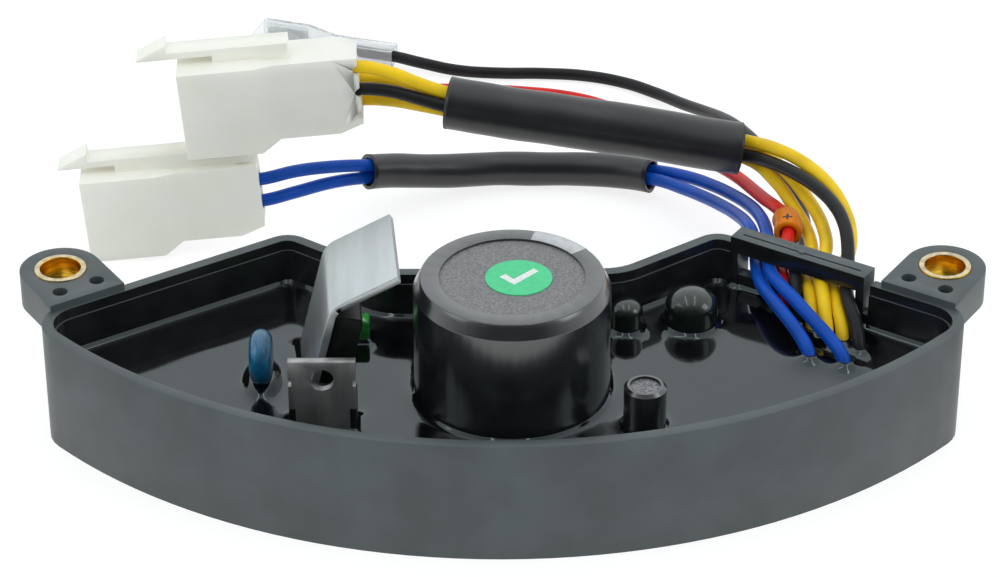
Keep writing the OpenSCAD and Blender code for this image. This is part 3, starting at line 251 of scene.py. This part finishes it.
class Paint:
    """A principled material with helpers that add detail to it."""

    RAMP_ENDS = (0.35, 0.65)
    WEAR_DETAIL = 4.0
    GRAIN_DETAIL = 2.0
    EVEN = (1, 1, 1)

    def __init__(self, name, color, roughness, **sockets):
        self.mat = bpy.data.materials.new(name)
        self.mat.use_nodes = True
        self.tree = self.mat.node_tree
        self.shader = self.tree.nodes["Principled BSDF"]
        self.color = color
        self.shader.inputs["Base Color"].default_value = (*color, 1)
        self.shader.inputs["Roughness"].default_value = roughness
        for key, value in sockets.items():
            self.shader.inputs[key.replace("_", " ")].default_value = value
        self.coords = None

    def node(self, kind, **values):
        """A new node with values for its inputs."""
        made = self.tree.nodes.new(kind)
        for key, value in values.items():
            made.inputs[key].default_value = value
        return made

    def link(self, out, into):
        self.tree.links.new(out, into)

    def place(self):
        """Where a point is in the part's own frame."""
        if self.coords is None:
            self.coords = self.node("ShaderNodeTexCoord").outputs["Object"]
        return self.coords

    def noise(self, size_mm, detail, stretch):
        """Noise with features of about that size."""
        mapping = self.node("ShaderNodeMapping")
        mapping.inputs["Scale"].default_value = stretch
        self.link(self.place(), mapping.inputs["Vector"])
        made = self.node("ShaderNodeTexNoise", Scale=1 / (size_mm * MM), Detail=detail)
        self.link(mapping.outputs["Vector"], made.inputs["Vector"])
        return made.outputs["Fac"]

    def ramp(self, factor, low, high):
        """Colour that goes from one to the other with a factor."""
        made = self.node("ShaderNodeValToRGB")
        first, last = made.color_ramp.elements
        first.position, last.position = self.RAMP_ENDS
        first.color = (*low, 1)
        last.color = (*high, 1)
        self.link(factor, made.inputs["Fac"])
        return made.outputs["Color"]

    def mottle(self, size_mm, spread, detail=3.0, stretch=EVEN):
        """Colour that wanders lighter and darker by that share."""
        low = [c * (1 - spread) for c in self.color]
        high = [min(1, c * (1 + spread)) for c in self.color]
        color = self.ramp(self.noise(size_mm, detail, stretch), low, high)
        self.link(color, self.shader.inputs["Base Color"])
        return self

    def wear(self, size_mm, low, high, stretch=EVEN):
        """Roughness that wanders between two values."""
        spread = self.node("ShaderNodeMapRange")
        spread.inputs["To Min"].default_value = low
        spread.inputs["To Max"].default_value = high
        self.link(self.noise(size_mm, self.WEAR_DETAIL, stretch), spread.inputs["Value"])
        self.link(spread.outputs["Result"], self.shader.inputs["Roughness"])
        return self

    def grain(self, size_mm, depth_mm, strength, stretch=EVEN):
        """Fine relief."""
        bump = self.node("ShaderNodeBump", Strength=strength, Distance=depth_mm * MM)
        self.link(self.noise(size_mm, self.GRAIN_DETAIL, stretch), bump.inputs["Height"])
        self.link(bump.outputs["Normal"], self.shader.inputs["Normal"])
        return self


def insulation(name, color):
    paint = Paint(name, color, 0.34, Specular_IOR_Level=0.18)
    return paint.mottle(6, 0.12).wear(4, 0.28, 0.4).grain(0.5, 0.02, 0.3).mat


def moulded_black():
    paint = Paint("moulded_black", (0.064, 0.076, 0.079), 0.44, Specular_IOR_Level=0.5)
    return paint.mottle(9, 0.14).wear(5, 0.36, 0.5).grain(0.35, 0.03, 0.35).mat


# The housing's black for its inner walls, painted much darker as shade, and glossier
def painted_shade_black():
    paint = Paint("inner_painted_shade", (0.010, 0.011, 0.012), 0.2, IOR=1.5)
    return paint.mottle(6, 0.3).wear(5, 0.16, 0.28).grain(0.5, 0.02, 0.2).mat


def potting_resin():
    paint = Paint("potting_resin", (0.004, 0.004, 0.005), 0.06, IOR=1.64, Specular_Tint=(0.86, 0.98, 1, 1))
    return paint.mottle(4, 0.4).wear(14, 0.04, 0.1).mat


def sleeve_gloss():
    paint = Paint("gloss_sleeve", (0.011, 0.013, 0.014), 0.24, Specular_IOR_Level=0.9,
                  Coat_Weight=0.9, Coat_Roughness=0.2)
    return paint.mottle(5, 0.3).wear(7, 0.2, 0.28).mat


def capacitor_disc():
    paint = Paint("capacitor_disc", (0.185, 0.182, 0.186), 0.5)
    return paint.mottle(0.3, 0.35, 4.0).grain(0.3, 0.05, 0.6).mat


def turned_brass():
    paint = Paint("turned_brass", (0.60, 0.50, 0.33), 0.36, Metallic=1.0)
    return paint.mottle(1.2, 0.22).wear(0.8, 0.28, 0.44).mat


def bore_brass():
    paint = Paint("bore_brass", (0.74, 0.44, 0.04), 0.28, Metallic=1.0)
    return paint.mottle(2, 0.3, stretch=(1, 1, 5)).mat


def stripe_grey():
    paint = Paint("stripe_grey", (0.55, 0.56, 0.57), 0.35)
    return paint.mottle(1.2, 0.08).mat


def rolled_aluminium():
    paint = Paint("rolled_aluminium", (0.52, 0.545, 0.555), 0.36, Metallic=0.85)
    paint.mottle(3, 0.06, stretch=(1, 0.15, 1)).wear(1.0, 0.3, 0.42, stretch=(1, 0.06, 1))
    return paint.grain(0.3, 0.01, 0.4, stretch=(1, 0.05, 1)).mat


def dull_aluminium():
    paint = Paint("dull_aluminium", (0.20, 0.20, 0.21), 0.5, Metallic=0.7)
    return paint.mottle(0.5, 0.45, 4.0).wear(0.6, 0.35, 0.6).grain(0.4, 0.05, 0.6).mat


def plated_tab():
    paint = Paint("plated_tab", (0.34, 0.335, 0.335), 0.4, Metallic=0.8)
    return paint.mottle(2.5, 0.2, stretch=(1, 1, 0.3)).wear(2, 0.34, 0.5, stretch=(1, 1, 0.2)).mat


def tin():
    paint = Paint("tin_plate", (0.72, 0.72, 0.70), 0.26, Metallic=1.0)
    return paint.mottle(2, 0.1).wear(1.5, 0.2, 0.36).mat


def terminal_brass():
    paint = Paint("terminal_brass", (0.80, 0.62, 0.30), 0.3, Metallic=1.0)
    return paint.mottle(2, 0.12).mat


def black_epoxy():
    paint = Paint("black_epoxy", (0.006, 0.007, 0.007), 0.42, Specular_IOR_Level=0.25)
    return paint.mottle(2, 0.25).grain(0.25, 0.03, 0.5).mat


def dipped(name, color, coat_roughness=0.08):
    paint = Paint(name, color, 0.2, Coat_Weight=0.6, Coat_Roughness=coat_roughness)
    return paint.mottle(1.5, 0.3).grain(0.9, 0.05, 0.4).mat


def nylon():
    paint = Paint("natural_nylon", (0.95, 0.925, 0.83), 0.4, Subsurface_Weight=0.5,
                  Subsurface_Scale=1.5 * MM, Subsurface_Radius=(1.0, 1.0, 0.9), IOR=1.5)
    return paint.mottle(7, 0.02).wear(3, 0.34, 0.46).mat


def clear_vinyl():
    paint = Paint("clear_vinyl", (0.96, 0.97, 0.98), 0.15, Transmission_Weight=0.8, IOR=1.2)
    return paint.wear(4, 0.1, 0.22).mat


def circuit_green():
    paint = Paint("circuit_green", (0.05, 0.085, 0.06), 0.4, Coat_Weight=0.2)
    return paint.mottle(1.2, 0.3).mat


def sticker_green():
    paint = Paint("sticker_green", (0.03, 0.6, 0.24), 0.4, Coat_Weight=0.2)
    return paint.mottle(1.0, 0.06).mat


def white_ink():
    paint = Paint("white_ink", (0.8, 0.82, 0.8), 0.5)
    return paint.mottle(0.6, 0.08).mat


def dark_ink():
    paint = Paint("dark_ink", (0.03, 0.02, 0.02), 0.5)
    return paint.mottle(0.6, 0.2).mat


def black_sleeving():
    paint = Paint("black_sleeving", (0.014, 0.014, 0.015), 0.32, Specular_IOR_Level=0.6)
    return paint.mottle(4, 0.2).wear(5, 0.26, 0.4).grain(0.4, 0.02, 0.3).mat


# Making pieces

def add(obj, *replaced, slot=None):
    """Puts a piece into the scene, on the body, in place of the named nodes."""
    bpy.context.collection.objects.link(obj)
    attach(obj, "root")
    if replaced:
        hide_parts(*replaced)
    return obj


def dress(name, material, bevel_mm=0.0, sharp_deg=32):
    """Gives a node its material, smooth faces and softened edges."""
    obj = nodes[name]
    obj.data.materials.clear()
    obj.data.materials.append(material)
    obj.data.polygons.foreach_set("use_smooth", [True] * len(obj.data.polygons))
    weld = obj.modifiers.new("weld", "WELD")
    weld.merge_threshold = WELD * MM
    if bevel_mm:
        bevel = obj.modifiers.new("soft_edges", "BEVEL")
        bevel.width = bevel_mm * MM
        bevel.segments = BEVEL_SEGMENTS
        bevel.limit_method = "ANGLE"
        bevel.angle_limit = math.radians(sharp_deg)
        bevel.harden_normals = True
    else:
        split = obj.modifiers.new("crisp_edges", "EDGE_SPLIT")
        split.split_angle = math.radians(sharp_deg)


def mesh_object(name, verts, faces, material, smooth=True):
    """A piece from points and faces, with one material."""
    mesh = bpy.data.meshes.new(name)
    mesh.from_pydata([tuple(v) for v in verts], [], faces)
    mesh.materials.append(material)
    mesh.polygons.foreach_set("use_smooth", [smooth] * len(mesh.polygons))
    mesh.validate()
    return bpy.data.objects.new(name, mesh)


def thicken(mark, ink):
    """Gives a printed mark its thickness."""
    solid = mark.modifiers.new("thickness", "SOLIDIFY")
    solid.thickness = ink * MM
    return mark


def wire_cord(node, material, slot):
    """A limp wire along its route, ending in its terminal."""
    points = [Vector(p) * MM for p in ROUTES[node]]
    curve = bpy.data.curves.new(node + "_cord", "CURVE")
    curve.dimensions = "3D"
    curve.bevel_depth = WIRE_D / 2 * MM
    curve.bevel_resolution = CORD_STEPS
    curve.resolution_u = CORD_STEPS
    curve.use_fill_caps = True
    spline = curve.splines.new("BEZIER")
    spline.bezier_points.add(len(points) - 1)
    for knot, point in zip(spline.bezier_points, points):
        knot.co = point
        knot.handle_left_type = "AUTO"
        knot.handle_right_type = "AUTO"
    curve.materials.append(material)
    obj = add(bpy.data.objects.new(node + "_cord", curve), node, slot=slot)


def smooth_path(points):
    """Points of a smooth curve through the given ones."""
    ends = [2 * points[0] - points[1], *points, 2 * points[-1] - points[-2]]
    path = []
    for a, b, c, d in zip(ends, ends[1:], ends[2:], ends[3:]):
        for k in range(PATH_STEPS):
            t = k / PATH_STEPS
            path.append(0.5 * (2 * b + (c - a) * t + (2 * a - 5 * b + 4 * c - d) * t ** 2
                               + (3 * b - a - 3 * c + d) * t ** 3))
    return [*path, points[-1]]


def rings_along(path):
    """For each point of a path: the point, and two directions across it that don't twist."""
    side = FIRST_SIDE
    rings = []
    for i, point in enumerate(path):
        run = path[min(i + 1, len(path) - 1)] - path[max(i - 1, 0)]
        run.normalize()
        side = (side - side.dot(run) * run).normalized()
        rings.append((point, side, run.cross(side)))
    return rings


def tube(name, path, radius_at, wall, material):
    """A hollow tube along a path. radius_at gives the outer radius from the share of length and the angle."""
    rings = rings_along(path)
    count = len(rings)
    verts = []
    for inset in (0, wall):
        for i, (point, side, across) in enumerate(rings):
            for k in range(TUBE_SIDES):
                angle = 2 * math.pi * k / TUBE_SIDES
                radius = radius_at(i / (count - 1), angle) - inset
                verts.append(point + radius * (math.cos(angle) * side + math.sin(angle) * across))
    faces = []
    inner = count * TUBE_SIDES
    last = inner - TUBE_SIDES
    for k in range(TUBE_SIDES):
        m = (k + 1) % TUBE_SIDES
        for start in range(0, last, TUBE_SIDES):
            a, b = start + k, start + m
            faces.append((a, b, b + TUBE_SIDES, a + TUBE_SIDES))
            faces.append((inner + b, inner + a, inner + a + TUBE_SIDES, inner + b + TUBE_SIDES))
        faces.append((m, k, inner + k, inner + m))
        faces.append((last + k, last + m, inner + last + m, inner + last + k))
    return mesh_object(name, verts, faces, material)


def sleeve(node, points, radius, material):
    """Sleeving that shows the wires inside it by slight waves."""
    path = smooth_path([Vector(p) * MM for p in points])

    def radius_at(share, angle):
        spot = Vector((math.cos(angle), math.sin(angle), WAVE_COUNT * share + WAVE_SEED * radius))
        flare = FLARE_HEIGHT * math.exp(-FLARE_FADE * min(share, 1 - share))
        return (radius - SLEEVE_SLACK + WAVE_HEIGHT * noise.noise(spot) + flare) * MM

    return add(tube(node + "_tube", path, radius_at, SLEEVE_WALL * MM, material), node, slot="sleeving")


def plus_bar(name, middle, run, half_along, half_across, ink):
    """One bar of the tag's plus sign, bent round the tag."""
    toward = (PLUS_FACES - PLUS_FACES.dot(run) * run).normalized()
    beside = run.cross(toward)
    row = PLUS_STEPS + 1
    verts = []
    for i in range(row):
        for j in range(row):
            along = half_along * (2 * i / PLUS_STEPS - 1) * MM
            angle = half_across * (2 * j / PLUS_STEPS - 1) / TAG_R
            out = math.cos(angle) * toward + math.sin(angle) * beside
            verts.append(middle + along * run + (TAG_R + PLUS_GAP) * MM * out)
    firsts = [i * row + j for i in range(PLUS_STEPS) for j in range(PLUS_STEPS)]
    faces = [(a, a + 1, a + row + 1, a + row) for a in firsts]
    return add(thicken(mesh_object(name, verts, faces, ink), PLUS_INK), slot="orange_tag")


def polarity_tag(material, ink):
    """Marker tube on the red lead, with a plus sign. Returns its pieces."""
    before, bend, after = [Vector(p) * MM for p in ROUTES["red_brush_lead"][TAG_BEND]]
    ends = [bend + (p - bend).normalized() * TAG_LENGTH / 2 * MM for p in (before, after)]
    path = smooth_path([ends[0], bend, ends[1]])

    def radius_at(share, angle):
        return (TAG_R - TAG_SLACK - TAG_TAPER * abs(2 * share - 1) ** 3) * MM

    body = tube("polarity_tag_tube", path, radius_at, TAG_WALL * MM, material)
    pieces = [add(body, "polarity_tag", slot="orange_tag")]
    rings = rings_along(path)
    middle, side, across = rings[len(rings) // 2 - PLUS_SHIFT]
    for name, halves in PLUS_BARS.items():
        pieces.append(plus_bar(name, middle, side.cross(across), *halves, ink))
    return pieces


def is_top(normal, middle):
    """Whether a face of the resin's solid belongs to its level surface."""
    return normal.z > LEVEL_NORMAL and middle.z > (RESIN_LEVEL - LEVEL_SLACK) * MM


def resin_top(mesh):
    """The faces of the resin's level surface."""
    return [f for f in mesh.faces if is_top(f.normal, f.calc_center_median())]


def resin_lake():
    """The resin's level surface, to look points up on."""
    solid = nodes["potting"].data
    top = [p.vertices for p in solid.polygons if is_top(p.normal, p.center)]
    return BVHTree.FromPolygons([v.co for v in solid.vertices], top)


LAKE = resin_lake()


def over_resin(spot):
    """Whether a point lies over the resin's surface."""
    return LAKE.ray_cast(Vector((spot.x, spot.y, DROP_HEIGHT * MM)), -UP)[0] is not None


def split_shores(mesh):
    """Splits the edges round the resin's surface into short ones and returns them."""
    top = set(resin_top(mesh))
    shores = [e for e in mesh.edges if sum(f in top for f in e.link_faces) == 1]
    pieces = []
    for edge in shores:
        count = max(1, round(edge.calc_length() / (SHORE_STEP * MM)))
        start = edge.verts[0]
        for k in range(count, 1, -1):
            short, start = bmesh.utils.edge_split(edge, start, 1 / k)
            pieces.append(short)
        pieces.append(edge)
    return pieces


def fan(centre, half_x, half_y, count):
    """Points of a level ellipse round a centre, in metres."""
    turns = (2 * math.pi * k / count for k in range(count))
    return [centre + Vector((half_x * math.cos(a), half_y * math.sin(a), 0)) * MM for a in turns]


def inland_points(tucks, tree, feet):
    """Points of the resin's surface: rows along its shores, rings round what stands on it, and a grid."""
    cell_size = GRID_STEP * MM
    cells = {}
    spots = []

    def keep(spot, apart):
        cell = (math.floor(spot.x / cell_size), math.floor(spot.y / cell_size))
        near = [p for i in (-1, 0, 1) for j in (-1, 0, 1) for p in cells.get((cell[0] + i, cell[1] + j), ())]
        if all((spot - p).length > apart * MM for p in near) and over_resin(spot):
            cells.setdefault(cell, []).append(spot)
            spots.append(spot)

    for row in SHORE_ROWS:
        beside = [vert.co - row * MM * way for vert, way in tucks.items()]
        round_about = [spot for vert in tucks for spot in fan(vert.co, row, row, ROW_FAN)]
        for spot in beside + round_about:
            if tree.find(spot)[2] > ROW_SHARE * row * MM:
                keep(spot, ROW_APART + ROW_APART_SHARE * row)
    mound = VARISTOR_AT * MM + RESIN_LEVEL * MM * UP
    rings = [(mound, share * MOUND_HALF[0], share * MOUND_HALF[1], MOUND_FAN) for share in MOUND_RINGS]
    rings += [(foot, ring, ring, WIRE_FAN) for foot in feet for ring in WIRE_RINGS]
    for ring in rings:
        for spot in fan(*ring):
            if tree.find(spot)[2] > SHORE_ROWS[0] * MM:
                keep(spot, RING_APART)
    low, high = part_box("potting")
    for i in range(int((high.x - low.x) / cell_size)):
        for j in range(int((high.y - low.y) / cell_size)):
            spot = Vector((low.x + (i + 0.5 * (j % 2)) * cell_size, low.y + j * cell_size, RESIN_LEVEL * MM))
            if tree.find(spot)[2] > SHORE_ROWS[-1] * MM:
                keep(spot, GRID_APART_SHARE * GRID_STEP)
    return spots


def resin_rise(spot, tree, feet):
    """How far the resin is drawn up at a point, in millimetres."""
    gap = tree.find(spot)[2] / MM
    level = 1.0
    for foot in feet:
        level *= 1 - math.exp(-max(0, (spot - foot).length / MM - WIRE_D / 2) / WIRE_REACH)
    off = spot / MM - VARISTOR_AT
    mound = max(0, math.hypot(off.x / MOUND_HALF[0], off.y / MOUND_HALF[1]) - MOUND_FLAT)
    swell = SWELL_RISE * noise.noise(spot / (SWELL_SIZE * MM)) * min(1, gap)
    return (SHORE_RISE * math.exp(-gap / SHORE_REACH) + WIRE_RISE * (1 - level)
            + MOUND_RISE * math.exp(-(mound / MOUND_REACH) ** 2) + swell)


def tuck_in(shores):
    """For each point of the resin's edge, the way into the piece that it touches."""
    ways = {}
    for edge in shores:
        a, b = edge.verts
        out = (b.co - a.co).cross(UP).normalized()
        if over_resin((a.co + b.co) / 2 + EDGE_PROBE * MM * out):
            out.negate()
        for vert in edge.verts:
            ways[vert] = ways.get(vert, Vector((0, 0, 0))) + out
    return {vert: way.normalized() for vert, way in ways.items()}


def shore_points(shores):
    """A search tree of close points along the resin's shores."""
    tree = kdtree.KDTree(len(shores) * SHORE_PARTS)
    for i, edge in enumerate(shores):
        a, b = edge.verts
        for k in range(SHORE_PARTS):
            tree.insert(a.co.lerp(b.co, k / SHORE_PARTS), i * SHORE_PARTS + k)
    tree.balance()
    return tree


def lay_surface(mesh, shores, bank, inland):
    """Fills the resin's surface with faces, and returns its points and its faces."""
    index = {v: i for i, v in enumerate(bank)}
    flat = [Vector((c.x, c.y)) / MM for c in [v.co for v in bank] + inland]
    borders = [tuple(index[v] for v in e.verts) for e in shores]
    made = delaunay_2d_cdt(flat, borders, [], 0, FLAT_GAP)
    spots, faces, origins = made[0], made[2], made[3]
    corners = []
    for spot, origin in zip(spots, origins):
        if origin and origin[0] < len(bank):
            corners.append(bank[origin[0]])
        else:
            corners.append(mesh.verts.new((spot.x * MM, spot.y * MM, RESIN_LEVEL * MM)))
    top = set()
    for face in faces:
        middle = sum((spots[i] for i in face), Vector((0, 0))) / len(face) * MM
        if over_resin(middle):
            top.add(mesh.faces.new([corners[i] for i in face]))
    return corners, top


def resin_surface(material):
    """The resin, with its surface drawn up the walls, the components and the wires."""
    mesh = bmesh.new()
    mesh.from_mesh(nodes["potting"].data)
    bmesh.ops.remove_doubles(mesh, verts=mesh.verts, dist=WELD * MM)
    mesh.normal_update()
    shores = split_shores(mesh)
    bmesh.ops.delete(mesh, geom=resin_top(mesh), context="FACES_ONLY")
    loose = [e for e in mesh.edges if not e.link_faces]
    bmesh.ops.delete(mesh, geom=loose, context="EDGES_FACES")
    tucks = tuck_in(shores)
    tree = shore_points(shores)
    feet = [Vector(route[0]) * MM for route in ROUTES.values()]
    corners, top = lay_surface(mesh, shores, list(tucks), inland_points(tucks, tree, feet))
    for edge in mesh.edges:
        edge.smooth = all(face in top for face in edge.link_faces)
    for vert in corners:
        vert.co.z += resin_rise(vert.co, tree, feet) * MM
    for vert, way in tucks.items():
        vert.co += EDGE_TUCK * MM * way
    bmesh.ops.recalc_face_normals(mesh, faces=mesh.faces)
    data = bpy.data.meshes.new("resin_surface")
    mesh.to_mesh(data)
    mesh.free()
    data.materials.append(material)
    data.polygons.foreach_set("use_smooth", [True] * len(data.polygons))
    add(bpy.data.objects.new("resin_surface", data), "potting", slot="resin")


def upright_faces(name):
    return [f for f in nodes[name].data.polygons if abs(f.normal.z) < UPRIGHT_NORMAL]


def shaded_inner_walls():
    """The housing's upright faces over the resin, which are given painted shade."""
    return [f for f in upright_faces("housing") if over_resin(f.center + WALL_PROBE * MM * f.normal)]


def repaint(name, faces, material):
    """Gives some faces of a node a second material."""
    nodes[name].data.materials.append(material)
    for face in faces:
        face.material_index = 1


def wrap(name, profile, angles, material):
    """A thin print on the main capacitor, along a profile of radius and height, between two angles."""
    verts = []
    for k in range(WRAP_STEPS + 1):
        angle = math.radians(angles[0] + (angles[1] - angles[0]) * k / WRAP_STEPS)
        out = Vector((math.cos(angle), math.sin(angle), 0))
        verts += [(CAPACITOR_AT + r * out + z * UP) * MM for r, z in profile]
    rows = len(profile)
    firsts = [k * rows + i for k in range(WRAP_STEPS) for i in range(rows - 1)]
    faces = [(a, a + rows, a + rows + 1, a + 1) for a in firsts]
    add(thicken(mesh_object(name, verts, faces, material), PRINT_INK), slot="black_sleeve")


def polarity_stripe(pale, dark):
    """The pale stripe of the capacitor's minus side, with plain bars."""
    skin = CAPACITOR_R + PRINT_GAP
    wide, high = CAPACITOR_SHOULDER
    brow = CAPACITOR_R - wide - CAPACITOR_EDGE
    cover = CAPACITOR_TOP + PRINT_GAP
    profile = [(skin, RESIN_LEVEL + STRIPE_FOOT), (skin, CAPACITOR_TOP - high),
               (skin - wide, cover - CAPACITOR_EDGE), (brow, cover), (skin - CAPACITOR_LIP, cover)]
    wrap("polarity_stripe", profile, STRIPE_ANGLES, pale)
    over = skin + PRINT_GAP
    for k in range(BAR_COUNT):
        low = RESIN_LEVEL + BAR_FOOT + BAR_PITCH * k
        wrap("polarity_bar", [(over, low), (over, low + BAR_HEIGHT)], BAR_ANGLES, dark)


def sticker_tick(material):
    """A plain tick on the round sticker."""
    low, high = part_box("inspection_sticker")
    centre = (low + high) / 2
    top = high.z + TICK_GAP * MM
    verts = [(centre.x + x * MM, centre.y + y * MM, top) for x, y in TICK]
    mark = mesh_object("sticker_tick", verts, TICK_HALVES, material, smooth=False)
    add(thicken(mark, PRINT_INK), slot="green_sticker")


# Stage

def stage_camera():
    """The camera that took the photograph, as fitted."""
    data = bpy.data.cameras.new("photo_camera")
    data.sensor_fit = "HORIZONTAL"
    data.sensor_width = SENSOR_MM
    data.lens = SENSOR_MM * FOCAL_PX / PHOTO_WIDTH
    data.clip_start = CLIP_START
    camera = bpy.data.objects.new("photo_camera", data)
    back = Vector((0, -math.cos(ELEVATION), math.sin(ELEVATION)))
    camera.location = LOOK_AT + DISTANCE * back
    camera.rotation_euler = (-back).to_track_quat("-Z", "Y").to_euler()
    camera.rotation_euler.rotate_axis("Z", ROLL)
    bpy.context.collection.objects.link(camera)
    bpy.context.scene.camera = camera


def seen_by(tree, *rays):
    """Light path factor that is 1 for the named kinds of ray."""
    path = tree.nodes.new("ShaderNodeLightPath")
    total = path.outputs[rays[0]]
    for name in rays[1:]:
        both = tree.nodes.new("ShaderNodeMath")
        both.operation = "MAXIMUM"
        tree.links.new(total, both.inputs[0])
        tree.links.new(path.outputs[name], both.inputs[1])
        total = both.outputs[0]
    return total


def stage_world():
    """White to the eye and through glass; in mirrors, dimmer on the side where the camera stands."""
    world = bpy.data.worlds.new("white_studio")
    world.use_nodes = True
    tree = world.node_tree
    ambient = tree.nodes["Background"]
    ambient.inputs["Color"].default_value = COOL_WHITE
    ambient.inputs["Strength"].default_value = AMBIENT
    white = tree.nodes.new("ShaderNodeBackground")
    white.inputs["Color"].default_value = (1, 1, 1, 1)
    white.inputs["Strength"].default_value = 1.0
    mirrored = tree.nodes.new("ShaderNodeBackground")
    mirrored.inputs["Color"].default_value = COOL_WHITE
    direction = tree.nodes.new("ShaderNodeTexCoord")
    split = tree.nodes.new("ShaderNodeSeparateXYZ")
    tree.links.new(direction.outputs["Generated"], split.inputs["Vector"])
    dimming = tree.nodes.new("ShaderNodeMapRange")
    for socket, value in zip(("From Min", "From Max", "To Min", "To Max"), FRONT_DIMMING):
        dimming.inputs[socket].default_value = value
    tree.links.new(split.outputs["Y"], dimming.inputs["Value"])
    tree.links.new(dimming.outputs["Result"], mirrored.inputs["Strength"])
    shader = ambient
    for light, rays in ((white, ("Is Camera Ray", "Is Transmission Ray")), (mirrored, ("Is Glossy Ray",))):
        mix = tree.nodes.new("ShaderNodeMixShader")
        tree.links.new(seen_by(tree, *rays), mix.inputs["Fac"])
        tree.links.new(shader.outputs[0], mix.inputs[1])
        tree.links.new(light.outputs[0], mix.inputs[2])
        shader = mix
    tree.links.new(shader.outputs[0], tree.nodes["World Output"].inputs["Surface"])
    bpy.context.scene.world = world


def stage_floor():
    """A white floor that keeps a faint shadow."""
    paint = Paint("white_floor", (FLOOR_TONE, FLOOR_TONE, FLOOR_TONE), 1.0, Specular_IOR_Level=0.0)
    tree = paint.tree
    glow = paint.node("ShaderNodeEmission", Strength=FLOOR_GLOW)
    soft = paint.node("ShaderNodeBsdfDiffuse", Color=(SHADOW_TONE, SHADOW_TONE, SHADOW_TONE, 1))
    both = paint.node("ShaderNodeAddShader")
    mix = paint.node("ShaderNodeMixShader")
    paint.link(glow.outputs[0], both.inputs[0])
    paint.link(soft.outputs[0], both.inputs[1])
    rays = seen_by(tree, "Is Camera Ray", "Is Glossy Ray", "Is Transmission Ray")
    paint.link(rays, mix.inputs["Fac"])
    paint.link(paint.shader.outputs[0], mix.inputs[1])
    paint.link(both.outputs[0], mix.inputs[2])
    paint.link(mix.outputs[0], tree.nodes["Material Output"].inputs["Surface"])
    corners = [(x * FLOOR_HALF, y * FLOOR_HALF, 0) for x, y in ((-1, -1), (1, -1), (1, 1), (-1, 1))]
    floor = mesh_object("floor", corners, [(0, 1, 2, 3)], paint.mat, smooth=False)
    bpy.context.collection.objects.link(floor)


def stage_lights():
    """Flat lamps, all aimed at the part."""
    for name, (place, size, watts) in LAMPS.items():
        data = bpy.data.lights.new(name, "AREA")
        data.shape = "RECTANGLE"
        data.size, data.size_y = size
        data.energy = watts
        data.color = COOL_WHITE[:3]
        lamp = bpy.data.objects.new(name, data)
        lamp.location = place
        lamp.rotation_euler = (LAMP_TARGET - Vector(place)).to_track_quat("-Z", "Y").to_euler()
        bpy.context.collection.objects.link(lamp)


# The scene, with the camera and the cords first
stage_camera()
blue = insulation("blue_insulation", (0.003, 0.075, 0.46))
yellow = insulation("yellow_insulation", (0.92, 0.59, 0.015))
black = insulation("black_insulation", (0.016, 0.016, 0.018))
red = insulation("red_insulation", (0.68, 0.016, 0.012))
sleeving = black_sleeving()
small_tube = sleeve("small_sleeve", SMALL_SLEEVE, SMALL_SLEEVE_R, sleeving)
large_tube = sleeve("large_sleeve", LARGE_SLEEVE, LARGE_SLEEVE_R, sleeving)
tag_pieces = polarity_tag(insulation("orange_tag", (0.72, 0.20, 0.005)), dark_ink())
wire_cord("blue_wire_a", blue, "blue_insulation")
wire_cord("blue_wire_b", blue, "blue_insulation")
wire_cord("yellow_wire_a", yellow, "yellow_insulation")
wire_cord("yellow_wire_b", yellow, "yellow_insulation")
wire_cord("yellow_wire_c", yellow, "yellow_insulation")
wire_cord("black_wire", black, "black_insulation")
wire_cord("red_brush_lead", red, "red_insulation")
wire_cord("black_brush_lead", black, "black_insulation")

# Housing, resin and boards
dress("housing", moulded_black(), bevel_mm=0.14)
# The inner walls over the resin get painted shade: a darker copy of the housing's black
repaint("housing", shaded_inner_walls(), painted_shade_black())
brass = turned_brass()
bore = bore_brass()
for bush in ("bush_left", "bush_right"):
    dress(bush, brass, bevel_mm=0.2)
    repaint(bush, upright_faces(bush), bore)
resin_surface(potting_resin())
board_paint = circuit_green()
dress("circuit_board", board_paint)
dress("control_board", board_paint, bevel_mm=0.1)

# Components
gloss = sleeve_gloss()
metal = rolled_aluminium()
tinned = tin()
epoxy = black_epoxy()
dress("capacitor_sleeve", gloss, bevel_mm=0.1, sharp_deg=20)
dress("capacitor_can", metal)
dress("capacitor_top_disc", capacitor_disc())
dress("inspection_sticker", sticker_green())
sticker_tick(white_ink())
polarity_stripe(stripe_grey(), gloss)
dress("heat_sink", metal, bevel_mm=0.15)
dress("rectifier", epoxy, bevel_mm=0.2)
dress("transistor_tab", plated_tab(), bevel_mm=0.1)
dress("transistor_body", epoxy, bevel_mm=0.15)
dress("varistor", dipped("blue_dip", (0.003, 0.10, 0.21), coat_roughness=0.3))
dress("film_capacitor", dipped("green_dip", (0.04, 0.36, 0.06)), bevel_mm=0.6)
dress("small_capacitor_sleeve", gloss)
dress("small_capacitor_can", dull_aluminium())
dark_dip = dipped("dark_dip", (0.006, 0.012, 0.009))
for size in ("large", "small"):
    dress("dipped_capacitor_" + size, dark_dip)
for leads in ("capacitor_terminals", "rectifier_leads", "transistor_leads", "varistor_leads",
              "film_capacitor_leads", "small_capacitor_leads", "dipped_capacitor_leads"):
    dress(leads, tinned)

# Plugs and terminals
white_nylon = nylon()
pin_brass = terminal_brass()
for plug in ("two_pin", "six_pin"):
    dress(plug + "_housing", white_nylon, bevel_mm=0.14)
    dress(plug + "_terminals", pin_brass, bevel_mm=0.1)
vinyl = clear_vinyl()
for lead in ("red_brush", "black_brush"):
    dress(lead + "_terminal", tinned, bevel_mm=0.1)
    dress(lead + "_cover", vinyl, bevel_mm=0.3)

stage_world()
stage_floor()
stage_lights()
bpy.context.scene.view_settings.view_transform = "Standard"
